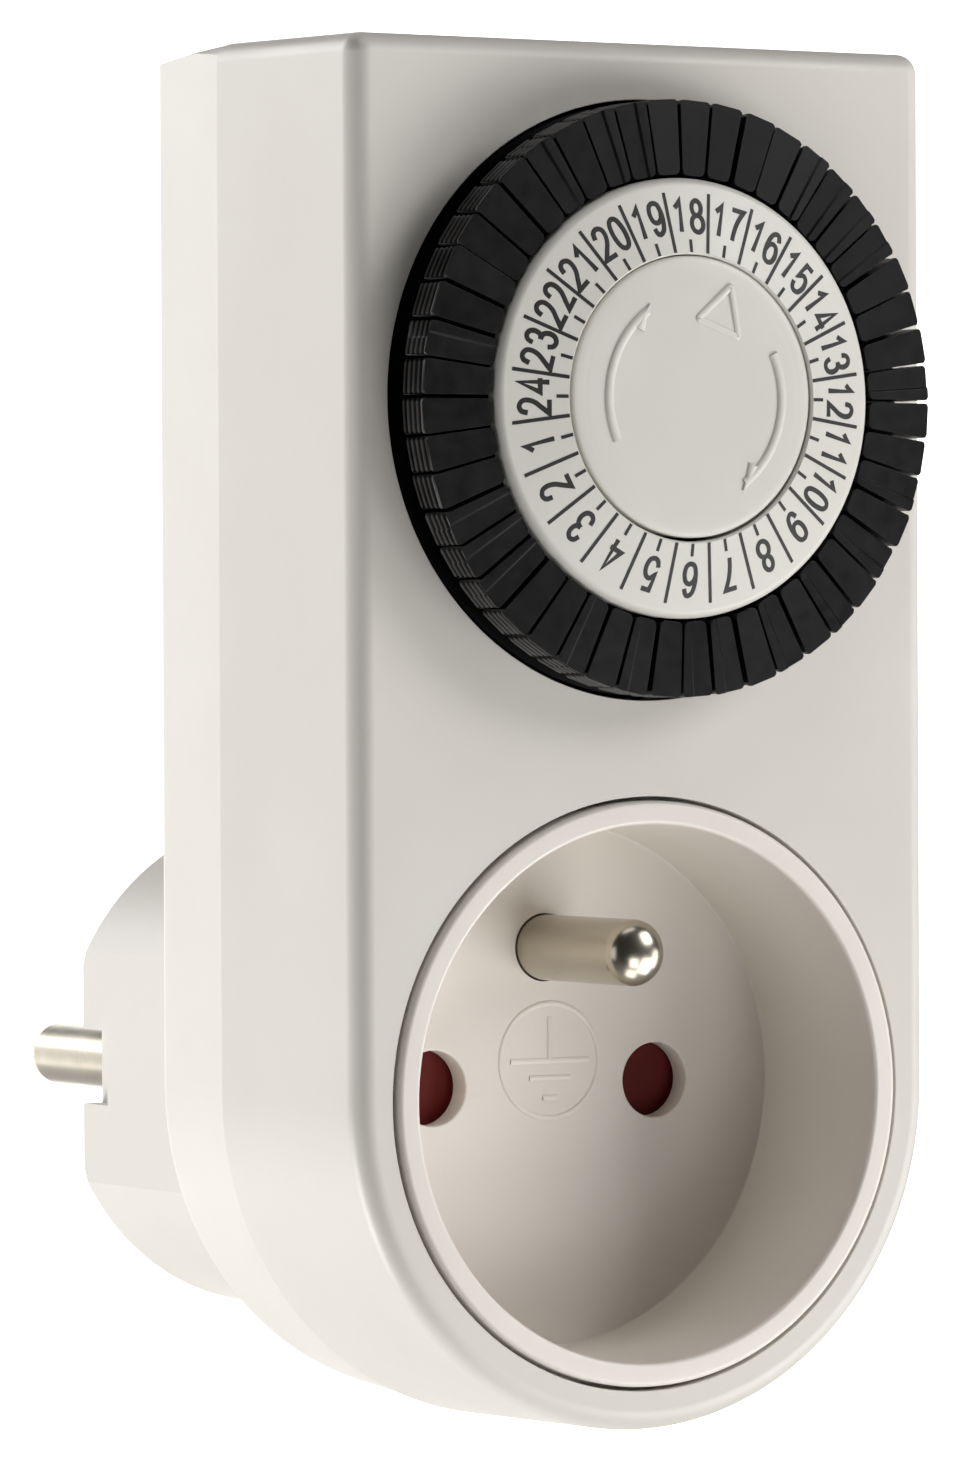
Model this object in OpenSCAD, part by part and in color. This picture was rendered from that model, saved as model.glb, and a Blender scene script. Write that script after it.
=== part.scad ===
// Plug in timer switch: a day dial with push segments over a pin earth socket, on a two pin plug.
// Origin: centre of the plug's end face. +Y is the way the plug pins point, +Z is up, front is -Y.
// A depth, written d, is measured back from the front face of the case, along +Y.

/* [Case] */
// Width of the case at its parting line
body_w = 49; // [48:0.25:53]
// Height of the case's top above the socket's axis
case_top = 75.4; // [75:0.2:84]
// Depth of the front shell
front_depth = 18.7; // [18:0.1:20]
// Depth of the rear shell, without the plug boss
rear_depth = 10.8; // [10.5:0.1:14]
// Wall thickness of both shells
wall = 2; // [1.6:0.1:2]
// Rounding of the front edges
edge_r = 1.5; // [0.5:0.1:1.8]
// Rounding of the rear edges
rear_edge_r = 1; // [0.4:0.1:1.4]
// Rounding of the two top corners, seen from the front
corner_r = 1.6; // [0.6:0.1:2]
// How much the front shell narrows towards its face, on each side
front_draft = 0.4; // [0:0.05:0.5]
// How much the rear shell narrows towards its back, on each side
rear_draft = 0.7; // [0:0.05:1]
// How far the front shell stands out past the rear shell at the parting line
shell_step = 0.15; // [0:0.05:0.3]
// Radius of the case's screw posts
post_r = 3; // [2.9:0.05:3.2]
// Radius of a case screw's head
case_head_r = 2.2; // [1.9:0.05:2.3]
// Radius of a case screw's thread
case_screw_r = 1.3; // [1:0.05:1.4]

/* [Plug] */
// Length of the round plug boss
boss_len = 25; // [23:0.5:30]
// Radius of the plug boss
boss_r = 18.8; // [18.4:0.1:19.2]
// Distance of the boss's side flats from its middle
boss_flat = 16.6; // [16.4:0.1:17]
// Wall between the boss's hollow and its flats
boss_wall = 3; // [2.6:0.1:3.2]
// Thickness of the boss's end wall
boss_end = 2.4; // [2:0.1:3]
// Height of the guide notch in each flat
notch_w = 5.7; // [5:0.1:7]
// Length of the guide notch
notch_len = 3.8; // [2:0.1:6]
// Depth of the guide notch
notch_depth = 1.6; // [1:0.1:1.8]
// Diameter of the plug pins, of the earth pin and of the pins that the socket takes
pin_d = 4.8; // [4:0.1:5]
// Length of the plug pins outside the boss
pin_len = 19; // [17:0.5:20]
// Distance between the two live pins, on the plug and in the socket
pin_spacing = 19; // [18.5:0.1:19.5]
// Height of the earth pin and the earth hole above the line of the live pins
earth_rise = 10; // [9.6:0.1:10.4]
// Diameter of the plug's earth hole
earth_hole_d = 5.2; // [5:0.1:5.6]

/* [Socket] */
// Diameter of the socket well
well_d = 38.5; // [38:0.1:39]
// Depth of the socket well
well_depth = 14.2; // [13.6:0.1:14.4]
// Thickness of the well's floor
floor_t = 1.8; // [1.5:0.1:2]
// Wall thickness of the well
well_wall = 1.7; // [1.4:0.05:1.8]
// How far the well's rim stands out of the case
rim_rise = 0.4; // [0:0.05:0.8]
// Gap round the rim
rim_gap = 0.3; // [0.1:0.05:0.4]
// Diameter of the two holes in the floor
hole_d = 5.5; // [5.2:0.1:6]
// Length of the earth pin above the floor
earth_pin_len = 14; // [12:0.2:14.4]
// Thickness of the shutter
shutter_t = 1.3; // [1:0.1:1.5]
// Distance that the shutter slides
shutter_travel = 6.6; // [6:0.1:7]

/* [Dial] */
// Height of the dial's axis above the socket's axis
dial_z = 49.5; // [49:0.1:50.5]
// Radius of the black wheel's disc
disc_r = 21.1; // [20.8:0.05:21.2]
// Thickness of the disc
disc_t = 0.7; // [0.5:0.05:0.8]
// Radius of the ring of segments
seg_r = 21.2; // [20.6:0.1:21.4]
// Gap between the dial and the case round it
dial_gap = 0.2; // [0.15:0.05:0.3]
// How far the segments stand out of the case
seg_front = 5; // [4.6:0.1:6]
// Gap between the case's face and the backs of the segments
seg_lift = 1.5; // [1.2:0.1:1.8]
// Gap between two segments
seg_gap = 0.24; // [0.1:0.02:0.4]
// Distance that a segment is pushed in
seg_travel = 1.8; // [1:0.1:1.8]
// Depth of the grip ridges on a segment
ridge_depth = 0.3; // [0.1:0.05:0.5]
// Number of grip ridges on a segment
ridge_count = 4; // [2:1:6]
// Radius of the hour ring
ring_r = 15.6; // [15.4:0.1:15.7]
// Radius of the fixed centre
hub_r = 9.85; // [9:0.05:10]
// How far the fixed centre stands out of the case
hub_front = 6.15; // [5.8:0.05:7]

/* [Works] */
// Tooth module of the gears
gear_m = 0.5; // [0.46:0.01:0.5]
// Teeth of the dial gear
dial_teeth = 48; // [44:1:48]
// Teeth of the drive gear's wheel
drive_teeth = 40; // [36:1:40]
// Teeth of the reduction gear's wheel
reduction_teeth = 36; // [32:1:36]
// Teeth of each pinion
pinion_teeth = 10; // [10:1:11]
// Play between two meshed teeth
backlash = 0.16; // [0.1:0.02:0.24]
// Thickness of the works plate
plate_t = 1.2; // [1:0.1:1.4]
// Radius of the motor can
can_r = 12.6; // [12:0.1:13]
// Length of the motor can
can_len = 10; // [9:0.1:10.5]
// Radius of the dial's spindle
spindle_r = 3; // [2.6:0.1:3.2]
// Thickness of the brass strips
strip_t = 0.8; // [0.5:0.1:0.9]
// Width of the brass strips
strip_w = 3; // [2:0.2:3.4]

/* [Fits] */
// Gap round a shaft that turns or a pin that is held
fit = 0.05; // [0.02:0.01:0.08]
// Gap at a sliding face
slide_gap = 0.1; // [0.05:0.01:0.15]
// Gap round a moving piece
run_gap = 0.3; // [0.2:0.02:0.34]

/* [Hidden] */
$fn = 96;

// Colours
c_case = "#D3CFC7";
c_insert = "#D2CCC6";
c_segment = "#2E2D2C";
c_wheel = "#141414";
c_ring = "#D2D0CA";
c_shutter = "#7A2C28";
c_nickel = "#B9B4A8";
c_brass = "#C9A24B";
c_steel = "#9A9C9E";
c_works = "#E4E0D2";
c_copper = "#B5653A";

// Case
body_depth = front_depth + rear_depth;
front_y = -(body_depth + boss_len);
half_w = body_w / 2;
cavity_r = half_w - wall;
cavity_top = case_top - wall;
seam_d = front_depth;
rear_in_d = body_depth - wall;
end_d = body_depth + boss_len;
end_in_d = end_d - boss_end;
post_x = cavity_r - post_r + 0.2;
post_z_top = cavity_top - post_r + 0.2;
post_z_low = 24.6;
head_recess = 1.6;
head_h = 1.4;
thread_d = 9;
lip_t = 0.9;
lip_h = 1.4;

// Plug
pin_r = pin_d / 2;
pin_x = pin_spacing / 2;
hollow_r = boss_r - boss_wall - 0.6;
hollow_x = boss_flat - boss_wall;
clip_w = 5.6;
clip_t = 0.5;
clip_len = 15;
clip_z = boss_r - 1.3;
recess_z = clip_z - clip_t - 0.3;
clip_d = end_d - clip_len - 1;
pin_shoulder = 0.3;
collar_r = pin_r + 0.8;
collar_t = 1.6;
stub_r = 1.5;
tab_d = end_in_d - collar_t - 2.9;
stub_head_t = 0.7;

// Socket
well_r = well_d / 2;
insert_r = well_r + well_wall;
opening_r = insert_r + rim_gap;
insert_flange_w = 1.3;
insert_flange_gap = 0.2;
insert_flange_r = max(cavity_r - insert_flange_gap, insert_r + insert_flange_w);
insert_flange_t = 1;
socket_room = max(0, insert_r + insert_flange_w + insert_flange_gap - cavity_r);
floor_back_d = well_depth + floor_t;
earth_seat_r = pin_r + pin_shoulder + 0.15;
shutter_d = floor_back_d + run_gap;
shutter_half = hole_d / 2 + 0.85;
shutter_x = pin_x + hole_d / 2 + 0.9;
carrier_d = shutter_d + shutter_t + 0.8;
carrier_t = 2;
carrier_back_d = carrier_d + carrier_t;
carrier_r = insert_r - 0.4;
rib_at = carrier_r - 1.95;
rib_r = 1.4;
seat_in_carrier = 1.2;
sleeve_r = pin_r + 0.9;
sleeve_bore_r = pin_r + 0.04;
sleeve_d = carrier_back_d - seat_in_carrier;
sleeve_end_d = well_depth + pin_len + 0.8;
spring_x = 0;
spring_z0 = -15.6;
spring_coil_r = 0.85;
spring_wire_r = 0.2;
spring_turns = 7;
earth_head_t = 0.8;

// Dial
hours = 24;
seg_count = 2 * hours;
dial_opening_r = max(disc_r, seg_r) + dial_gap;
guide_r = disc_r - 1.2;
drum_r = ring_r - 0.3;
seg_in_r = ring_r + 0.25;
seg_back_d = -seg_lift;
disc_d = seg_back_d + seg_travel + 0.05;
disc_back_d = disc_d + disc_t;
web_back_d = disc_d + 1;
seg_pitch = 360 / seg_count;
tongue_r0 = seg_in_r + 1.05;
tongue_r1 = tongue_r0 + 2.2;
tongue_w = 1.3;
guide_back_d = disc_back_d + 0.5;
barb = 0.3;
tongue_d = guide_back_d + slide_gap + 0.3;
pushed_d = tongue_d + seg_travel;
ring_back_d = -3.95;
ring_hole_r = hub_r + run_gap;
sleeve_or = spindle_r + 2;
hub_t = 1.7;
hub_back_d = -hub_front + hub_t;
hub_boss_r = spindle_r + 1;
peg_r = spindle_r / 2;

// Works: the depths of the gears follow the segments' furthest reach, one after the other
gear_a_d = pushed_d + 0.4;
gear_a_t = 1.6;
pinion_a_t = 2.2;
wheel_b_d = gear_a_d + pinion_a_t + run_gap;
wheel_t = 1.4;
wheel_c_d = wheel_b_d + wheel_t + 0.6;
plate_d = wheel_c_d + wheel_t + 1;
plate_back_d = plate_d + plate_t;
plate_z0 = post_z_low + post_r + 0.4;
plate_z1 = post_z_top - post_r - 0.4;
plate_x = cavity_r - 0.3;
plate_post_r = 2.4;
plate_post_x = cavity_r - plate_post_r + 0.2;
plate_post_z = [35, 64];
plate_screw_r = 1;
plate_head_r = 2;
dial_r = gear_m * dial_teeth / 2;
drive_r = gear_m * drive_teeth / 2;
reduction_r = gear_m * reduction_teeth / 2;
pinion_r = gear_m * pinion_teeth / 2;
axle_r = 1;
shaft_r = 0.8;
angle_drive = -60;
angle_reduction = 180;
angle_rotor = 105;
dial_c = [0, dial_z];
drive_c = dial_c + (dial_r + pinion_r) * [cos(angle_drive), sin(angle_drive)];
reduction_c = drive_c + (drive_r + pinion_r) * [cos(angle_reduction), sin(angle_reduction)];
rotor_c = reduction_c + (reduction_r + pinion_r) * [cos(angle_rotor), sin(angle_rotor)];
phase_drive = mesh_phase(0, dial_teeth, pinion_teeth, angle_drive);
phase_reduction = mesh_phase(0, drive_teeth, pinion_teeth, angle_reduction);
phase_rotor = mesh_phase(0, reduction_teeth, pinion_teeth, angle_rotor);
spindle_collar_r = spindle_r + 0.6;
sleeve_back_d = wheel_b_d - 0.5;
can_wall = 0.8;
can_back_d = plate_back_d + can_len;
coil_r = can_r - can_wall - fit;
coil_in_r = 7.2;
magnet_r = 5.8;

// Switch
lever_x = 13;
lever_w = 2.8;
lever_r = 18;
lever_z = 52;
lever_d = plate_d - 2.3;
lever_hub_r = 1.7;
lever_t = 1.6;
nub_z = dial_z + sqrt(lever_r * lever_r - lever_x * lever_x);
nub_r = 1.1;
nub_d = pushed_d + 0.4;
arm_top_z = nub_z + 6.4;
finger_h = 2;
blade_t = 0.5;
finger_end_d = plate_back_d + 4.4;
blade_d = finger_end_d + run_gap;
blade_z0 = 50;
rivet_r = 1.4;
rivet_h = 1;
contact_gap = 2;
rivet_z = 62.5;
fixed_d = blade_d + blade_t + 2 * rivet_h + contact_gap;
switch_x0 = 8.2;
switch_x1 = 17.8;
switch_wall = 1;
switch_z0 = 44.6;
switch_z1 = post_z_top - post_r - 0.4;
terminal_z = 46.4;
bus_d = can_back_d + 0.9;
bus_z = 24;
feed_d = bus_d + strip_t + 2;
feed_z = 50;

// Angle of a gear's first tooth that puts it in mesh with a gear of teeth z1 that stands at phi1,
// in the direction theta from that gear
function mesh_phase(phi1, z1, z2, theta) = theta + 180 - 180 / z2 + (theta - phi1) * z1 / z2;

// Half the angle of an involute tooth at radius r
function inv(a) = tan(a) * 180 / PI - a;
function tooth_half(r, rp, rb, half) =
    r <= rb ? half + inv(20) : half + inv(20) - inv(acos(rb / r));

// Points on the arc of radius r about c, from angle a0 to a1
function arc(c, r, a0, a1, n = 6) =
    [for (i = [0 : n]) let (a = a0 + (a1 - a0) * i / n) c + r * [cos(a), sin(a)]];

// Moves a child whose y is a depth into the frame
module at_depth() {
    translate([0, front_y, 0])
        children();
}

// Extrudes an outline, seen from the front, from depth d0 to d1
module plate_along_y(d0, d1) {
    translate([0, front_y + d1, 0])
        rotate([90, 0, 0])
            linear_extrude(d1 - d0)
                children();
}

// Round rod of radius r from depth d0 to d1, at x and z
module rod_y(x, z, r, d0, d1) {
    plate_along_y(d0, d1)
        translate([x, z])
            circle(r);
}

// Block from low to high corner, each [x, d, z]
module block(low, high) {
    translate([low[0], front_y + low[1], low[2]])
        cube(high - low);
}

// Turns an outline of [radius, depth] points about the axis at x and z
module turned(x, z, points) {
    translate([x, front_y, z])
        rotate([90, 0, 0])
            rotate_extrude()
                polygon([for (p = points) [p[0], -p[1]]]);
}

// Round rod between two points, each [x, d, z], with ball ends
module wire(p, q, r) {
    v = q - p;
    length = norm(v);
    at_depth() {
        translate(p)
            rotate([0, acos(v[2] / length), atan2(v[1], v[0])])
                cylinder(r = r, h = length, $fn = 24);
        for (end = [p, q])
            translate(end)
                sphere(1.1 * r, $fn = 24);
    }
}

// Outline of the case, seen from the front: half round below, square above
module case_outline(r, top, corner) {
    circle(r + socket_room);
    translate([-r, 0])
        square([2 * r, top - corner]);
    translate([corner - r, 0])
        square([2 * (r - corner), top]);
    for (side = [-1, 1])
        translate([side * (r - corner), top - corner])
            circle(corner);
}

// Solid shell body between two depths. The edge profile has points of [inset, depth]
module case_solid(r, top, corner, d0, d1, edge) {
    translate([0, front_y, 0])
        rotate([90, 0, 0])
            rotate_extrude()
                polygon(concat([[0, -d0]], [for (p = edge) [r + socket_room - p[0], -p[1]]], [[0, -d1]]));
    intersection() {
        plate_along_y(d0, d1)
            case_outline(r, top, corner);
        linear_extrude(top)
            polygon(concat(
                [for (p = edge) [r - p[0], front_y + p[1]]],
                [for (i = [len(edge) - 1 : -1 : 0]) [edge[i][0] - r, front_y + edge[i][1]]]
            ));
        translate([-r, 0, 0])
            rotate([90, 0, 90])
                linear_extrude(2 * r)
                    polygon(concat(
                        [[front_y + d0, 0]],
                        [for (p = edge) [front_y + p[1], top - p[0]]],
                        [[front_y + d1, 0]]
                    ));
    }
}

front_edge = concat(
    [for (p = arc([0, 0], edge_r, 90, 0)) [front_draft + edge_r - p[0], edge_r - p[1]]],
    [[0, front_depth]]
);
rear_edge = concat(
    [[shell_step, seam_d]],
    [for (p = arc([0, 0], rear_edge_r, 0, 90))
        [shell_step + rear_draft + rear_edge_r - p[0], body_depth - rear_edge_r + p[1]]]
);

// Screw posts of the case
module at_case_posts() {
    for (x = [-post_x, post_x], z = [post_z_low, post_z_top])
        translate([x, 0, z])
            children();
}

// Posts that carry the works plate
module at_plate_posts() {
    for (x = [-plate_post_x, plate_post_x], z = plate_post_z)
        translate([x, 0, z])
            children();
}

// Front shell
module front_cover() {
    color(c_case)
        difference() {
            union() {
                difference() {
                    case_solid(half_w, case_top, corner_r, 0, seam_d, front_edge);
                    plate_along_y(wall, seam_d + 1)
                        case_outline(cavity_r, cavity_top, 0.5);
                }
                at_case_posts()
                    rod_y(0, 0, post_r, wall - 0.5, seam_d);
                at_plate_posts()
                    rod_y(0, 0, plate_post_r, wall - 0.5, plate_d);
            }
            rod_y(0, 0, opening_r, -1, wall + 1);
            rod_y(0, dial_z, dial_opening_r, -1, wall + 1);
            at_case_posts()
                rod_y(0, 0, case_screw_r + fit, thread_d - 1, seam_d + 1);
            at_plate_posts()
                rod_y(0, 0, plate_screw_r + fit, plate_d - 5.5, plate_d + 1);
        }
}

// Rear shell with the hollow plug boss
module rear_cover() {
    color(c_case)
        difference() {
            union() {
                difference() {
                    case_solid(half_w, case_top, corner_r, seam_d, body_depth, rear_edge);
                    plate_along_y(seam_d - 1, rear_in_d)
                        case_outline(cavity_r, cavity_top, 0.5);
                }
                rear_lip();
                plug_boss();
                at_case_posts()
                    rod_y(0, 0, post_r, seam_d, rear_in_d + 0.5);
                carrier_ribs();
            }
            boss_hollow();
            boss_cuts();
            at_case_posts() {
                rod_y(0, 0, case_screw_r + run_gap, seam_d - 1, body_depth + 1);
                rod_y(0, 0, case_head_r + run_gap, body_depth - head_recess, body_depth + 1);
            }
        }
}

// Lip that locates the rear shell in the front one
module rear_lip() {
    lip_r = cavity_r - slide_gap;
    lip_top = cavity_top - slide_gap;
    difference() {
        plate_along_y(seam_d - lip_h, seam_d + 1)
            case_outline(lip_r, lip_top, 0.5);
        plate_along_y(seam_d - lip_h - 1, seam_d + 2)
            case_outline(lip_r - lip_t, lip_top - lip_t, 0.5);
        at_case_posts()
            rod_y(0, 0, post_r + run_gap, seam_d - lip_h - 1, seam_d);
    }
    difference() {
        plate_along_y(seam_d, seam_d + 1.2)
            case_outline(cavity_r + 0.3, cavity_top + 0.3, 0.5);
        plate_along_y(seam_d - 1, seam_d + 2)
            case_outline(lip_r - lip_t, lip_top - lip_t, 0.5);
    }
}

module plug_boss() {
    intersection() {
        turned(0, 0, [
            [0, rear_in_d], [boss_r, rear_in_d], [boss_r, end_d - 0.5], [boss_r - 0.5, end_d], [0, end_d]
        ]);
        block([-boss_flat, rear_in_d - 1, -boss_r], [boss_flat, end_d + 1, boss_r]);
    }
}

module boss_hollow() {
    intersection() {
        rod_y(0, 0, hollow_r, rear_in_d - 1, end_in_d);
        block([-hollow_x, rear_in_d - 2, -boss_r], [hollow_x, end_d, boss_r]);
    }
}

// Pin holes, guide notches and the recesses of the earth clips
module boss_cuts() {
    for (side = [-1, 1]) {
        rod_y(side * pin_x, 0, pin_r + pin_shoulder + fit, end_in_d - 1, end_d + 1);
        translate([side * boss_flat, 0, 0])
            block(
                [-notch_depth, end_d - notch_len, -notch_w / 2],
                [notch_depth, end_d + 1, notch_w / 2]
            );
        earth_clip_space(side);
    }
    rod_y(0, earth_rise, earth_hole_d / 2, end_in_d - 1, end_d + 1);
}

module earth_clip_space(side) {
    w = clip_w / 2 + slide_gap;
    rotate([0, side > 0 ? 0 : 180, 0]) {
        block([-w, clip_d - slide_gap, recess_z], [w, end_d + 1, boss_r + 1]);
        block([-w, clip_d - slide_gap, hollow_r - 1], [w, clip_d + strip_t + slide_gap, boss_r + 1]);
    }
}

// Ribs that press the contact carrier on the socket's skirt
module carrier_ribs() {
    for (a = [30, 150, 270])
        rod_y(rib_at * cos(a), rib_at * sin(a), rib_r, carrier_back_d, rear_in_d + 0.5);
}

// Round socket well
module socket_insert() {
    lip = well_wall / 2;
    color(c_insert)
        difference() {
            turned(0, 0, concat(
                [[0, well_depth], [well_r, well_depth]],
                arc([insert_r - lip, lip - rim_rise], lip, -180, 0, 8),
                [
                    [insert_r, wall], [insert_flange_r, wall],
                    [insert_flange_r, wall + insert_flange_t], [insert_r, wall + insert_flange_t],
                    [insert_r, carrier_d], [well_r, carrier_d], [well_r, floor_back_d],
                    [0, floor_back_d]
                ]
            ));
            for (side = [-1, 1])
                rod_y(side * pin_x, 0, hole_d / 2, well_depth - 1, floor_back_d + 1);
            rod_y(0, earth_rise, earth_seat_r, well_depth - 1, floor_back_d + 1);
        }
}

// Insulating plate behind the shutter
module contact_carrier() {
    color(c_works)
        difference() {
            union() {
                rod_y(0, 0, carrier_r, carrier_d, carrier_back_d);
                block([-2.5, floor_back_d + 0.1, spring_z0 - 1.9], [2.5, carrier_d + 1, spring_z0]);
            }
            for (side = [-1, 1]) {
                rod_y(side * pin_x, 0, pin_r + 0.4, carrier_d - 1, carrier_back_d + 1);
                rod_y(side * pin_x, 0, sleeve_r + fit, sleeve_d, carrier_back_d + 1);
            }
            rod_y(0, earth_rise, stub_r + fit, carrier_d - 1, carrier_back_d + 1);
        }
}

// Child shutter: a plate that covers both holes and slides down to open them
module shutter() {
    color(c_shutter) {
        difference() {
            block([-shutter_x, shutter_d, -shutter_half], [shutter_x, shutter_d + shutter_t, shutter_half]);
            for (side = [-1, 1])
                translate([side * pin_x, front_y + shutter_d - 0.6, shutter_half + 0.3])
                    rotate([30, 0, 0])
                        cube([hole_d, 2, 2], center = true);
        }
        block([-1.6, shutter_d, -shutter_half - 0.5], [1.6, shutter_d + shutter_t, 1 - shutter_half]);
    }
}

// Closing spring of the shutter, a helix about Z
module shutter_spring() {
    z1 = -shutter_half - 0.6;
    sides = 6;
    per_turn = 12;
    steps = per_turn * spring_turns;
    pitch = (z1 - spring_z0 - 2 * spring_wire_r) / steps;
    points = [
        for (i = [0 : steps], j = [0 : sides - 1])
            let (
                a = 360 * i / per_turn,
                b = 360 * j / sides,
                r = spring_coil_r + spring_wire_r * cos(b),
                z = spring_z0 + spring_wire_r + pitch * i + spring_wire_r * sin(b)
            )
            [r * cos(a), r * sin(a), z]
    ];
    faces = concat(
        [[for (j = [0 : sides - 1]) j]],
        [for (i = [0 : steps - 1], j = [0 : sides - 1])
            let (k = (j + 1) % sides, a = sides * i, b = a + sides)
            each [[a + j, b + j, b + k], [a + j, b + k, a + k]]],
        [[for (j = [sides - 1 : -1 : 0]) sides * steps + j]]
    );
    color(c_steel)
        translate([spring_x, front_y + shutter_d + shutter_t / 2 + 0.2, 0])
            polyhedron(points, faces);
}

// Earth pin of the socket, riveted through the carrier
module earth_pin() {
    tip_d = well_depth - earth_pin_len;
    color(c_nickel)
        turned(0, earth_rise, concat(
            [[0, tip_d]],
            [for (a = [75 : -15 : 0]) [pin_r * cos(a), tip_d + 1.5 * (1 - sin(a))]],
            [
                [pin_r, well_depth], [pin_r + pin_shoulder, well_depth],
                [pin_r + pin_shoulder, floor_back_d + fit],
                [collar_r, floor_back_d + fit], [collar_r, carrier_d - fit],
                [stub_r, carrier_d - fit], [stub_r, carrier_back_d + strip_t + 2 * fit],
                [stub_r + 0.8, carrier_back_d + strip_t + 2 * fit],
                [stub_r + 0.8, carrier_back_d + strip_t + earth_head_t],
                [0, carrier_back_d + strip_t + earth_head_t]
            ]
        ));
}

// Brass earth strip: from the earth pin back to the plug's earth sleeve and clips
module earth_strip() {
    half = strip_w;
    top = earth_rise + sleeve_r + 0.5;
    bar_z = clip_z - 3.1;
    color(c_brass) {
        difference() {
            union() {
                block([-half, carrier_back_d + fit, earth_rise - 2.4], [half, carrier_back_d + strip_t + fit, top]);
                block([-half, carrier_back_d + fit, top - strip_t], [half, clip_d + strip_t + fit, top]);
                block([-2.5, clip_d + strip_t + fit, -bar_z], [2.5, clip_d + 2 * strip_t, bar_z]);
                rod_y(0, earth_rise, sleeve_r, clip_d + strip_t + fit, end_in_d - 0.3);
            }
            rod_y(0, earth_rise, stub_r + fit, carrier_back_d - 1, carrier_back_d + strip_t + 1);
            rod_y(0, earth_rise, sleeve_bore_r, clip_d + 2 * strip_t, end_d);
            block([-0.3, clip_d + 4, earth_rise - 5], [0.3, end_d, earth_rise]);
        }
    }
}

// Side earth contacts of the plug, above and below
module earth_clips() {
    w = clip_w / 2;
    leg_z = earth_rise + sleeve_r + 0.6;
    color(c_brass)
        for (turn = [0, 180])
            rotate([0, turn, 0]) {
                block([-w, clip_d, clip_z - clip_t], [w, end_d - 1, clip_z]);
                block([-w, clip_d, leg_z], [w, clip_d + strip_t, clip_z]);
            }
}

// Plug pin with its collar and riveted stub
module plug_pin(x) {
    color(c_nickel)
        turned(x, 0, concat(
            [
                [0, tab_d - stub_head_t - fit], [stub_r + 0.7, tab_d - stub_head_t - fit],
                [stub_r + 0.7, tab_d - fit], [stub_r, tab_d - fit],
                [stub_r, end_in_d - collar_t], [collar_r, end_in_d - collar_t], [collar_r, end_in_d],
                [pin_r + pin_shoulder, end_in_d], [pin_r + pin_shoulder, end_d], [pin_r, end_d]
            ],
            [for (a = [0 : 15 : 75]) [pin_r * cos(a), end_d + pin_len - 2 * (1 - sin(a))]],
            [[0, end_d + pin_len]]
        ));
}

module plug_pin_left() {
    plug_pin(-pin_x);
}

module plug_pin_right() {
    plug_pin(pin_x);
}

// Sprung sleeve that grips a plugged in pin
module grip_sleeve(x) {
    difference() {
        rod_y(x, 0, sleeve_r, sleeve_d, sleeve_end_d);
        rod_y(x, 0, sleeve_bore_r, sleeve_d - 1, sleeve_end_d + 1);
        block([x - 0.3, carrier_back_d + 2, 0], [x + 0.3, sleeve_end_d + 1, sleeve_r + 1]);
    }
}

// Tab of a strip round a plug pin's stub, from z0 to z1
module pin_tab(x, z0, z1) {
    difference() {
        block([x - 2.6, tab_d, z0], [x + 2.6, tab_d + strip_t, z1]);
        rod_y(x, 0, stub_r + fit, tab_d - 1, tab_d + strip_t + 1);
    }
}

// Neutral: sleeve, bar to the right plug pin and a tail for the motor's lead
module neutral_contact() {
    half = strip_w / 2;
    color(c_brass) {
        grip_sleeve(pin_x);
        block([pin_x - half, sleeve_end_d - 3, -sleeve_r - 0.4], [pin_x + half, tab_d + strip_t, -sleeve_bore_r]);
        pin_tab(pin_x, -sleeve_r - 0.4, 3);
        block([pin_x + 0.5, bus_d, sleeve_bore_r], [pin_x + half, bus_d + 4, sleeve_r + 1.4]);
        block([pin_x - half, bus_d, sleeve_r + 0.4], [pin_x + half, bus_d + strip_t, 20]);
    }
}

// Switched line: sleeve, strip up behind the motor and the terminal under the moving contact
module line_contact() {
    half = strip_w / 2;
    color(c_brass) {
        grip_sleeve(-pin_x);
        block([-pin_x + 0.5, bus_d, sleeve_bore_r], [-pin_x + half, bus_d + 4, sleeve_r + 1.4]);
        block([-pin_x - half, bus_d, sleeve_r + 0.4], [-pin_x + half, bus_d + strip_t, bus_z + strip_w]);
        block([-pin_x - half, bus_d, bus_z], [lever_x + half, bus_d + strip_t, bus_z + strip_w]);
        block([lever_x - half, bus_d, bus_z], [lever_x + half, bus_d + strip_t, blade_z0 - run_gap]);
        block([lever_x - 1.2, blade_d - 0.3, terminal_z], [lever_x + 1.2, bus_d + 0.1, blade_z0 - run_gap]);
    }
}

// Unswitched line: from the left plug pin up to the fixed contact
module line_strip() {
    half = strip_w / 2;
    run_z = sleeve_r + 4.5;
    color(c_brass) {
        pin_tab(-pin_x, -3, run_z + strip_t);
        block([-pin_x - half, feed_d, run_z], [-pin_x + half, tab_d + strip_t, run_z + strip_t]);
        block([-pin_x - half, feed_d, run_z], [-pin_x + half, feed_d + strip_t, feed_z + strip_w]);
        block([-pin_x - half, feed_d, feed_z], [lever_x + half, feed_d + strip_t, feed_z + strip_w]);
    }
}

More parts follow.
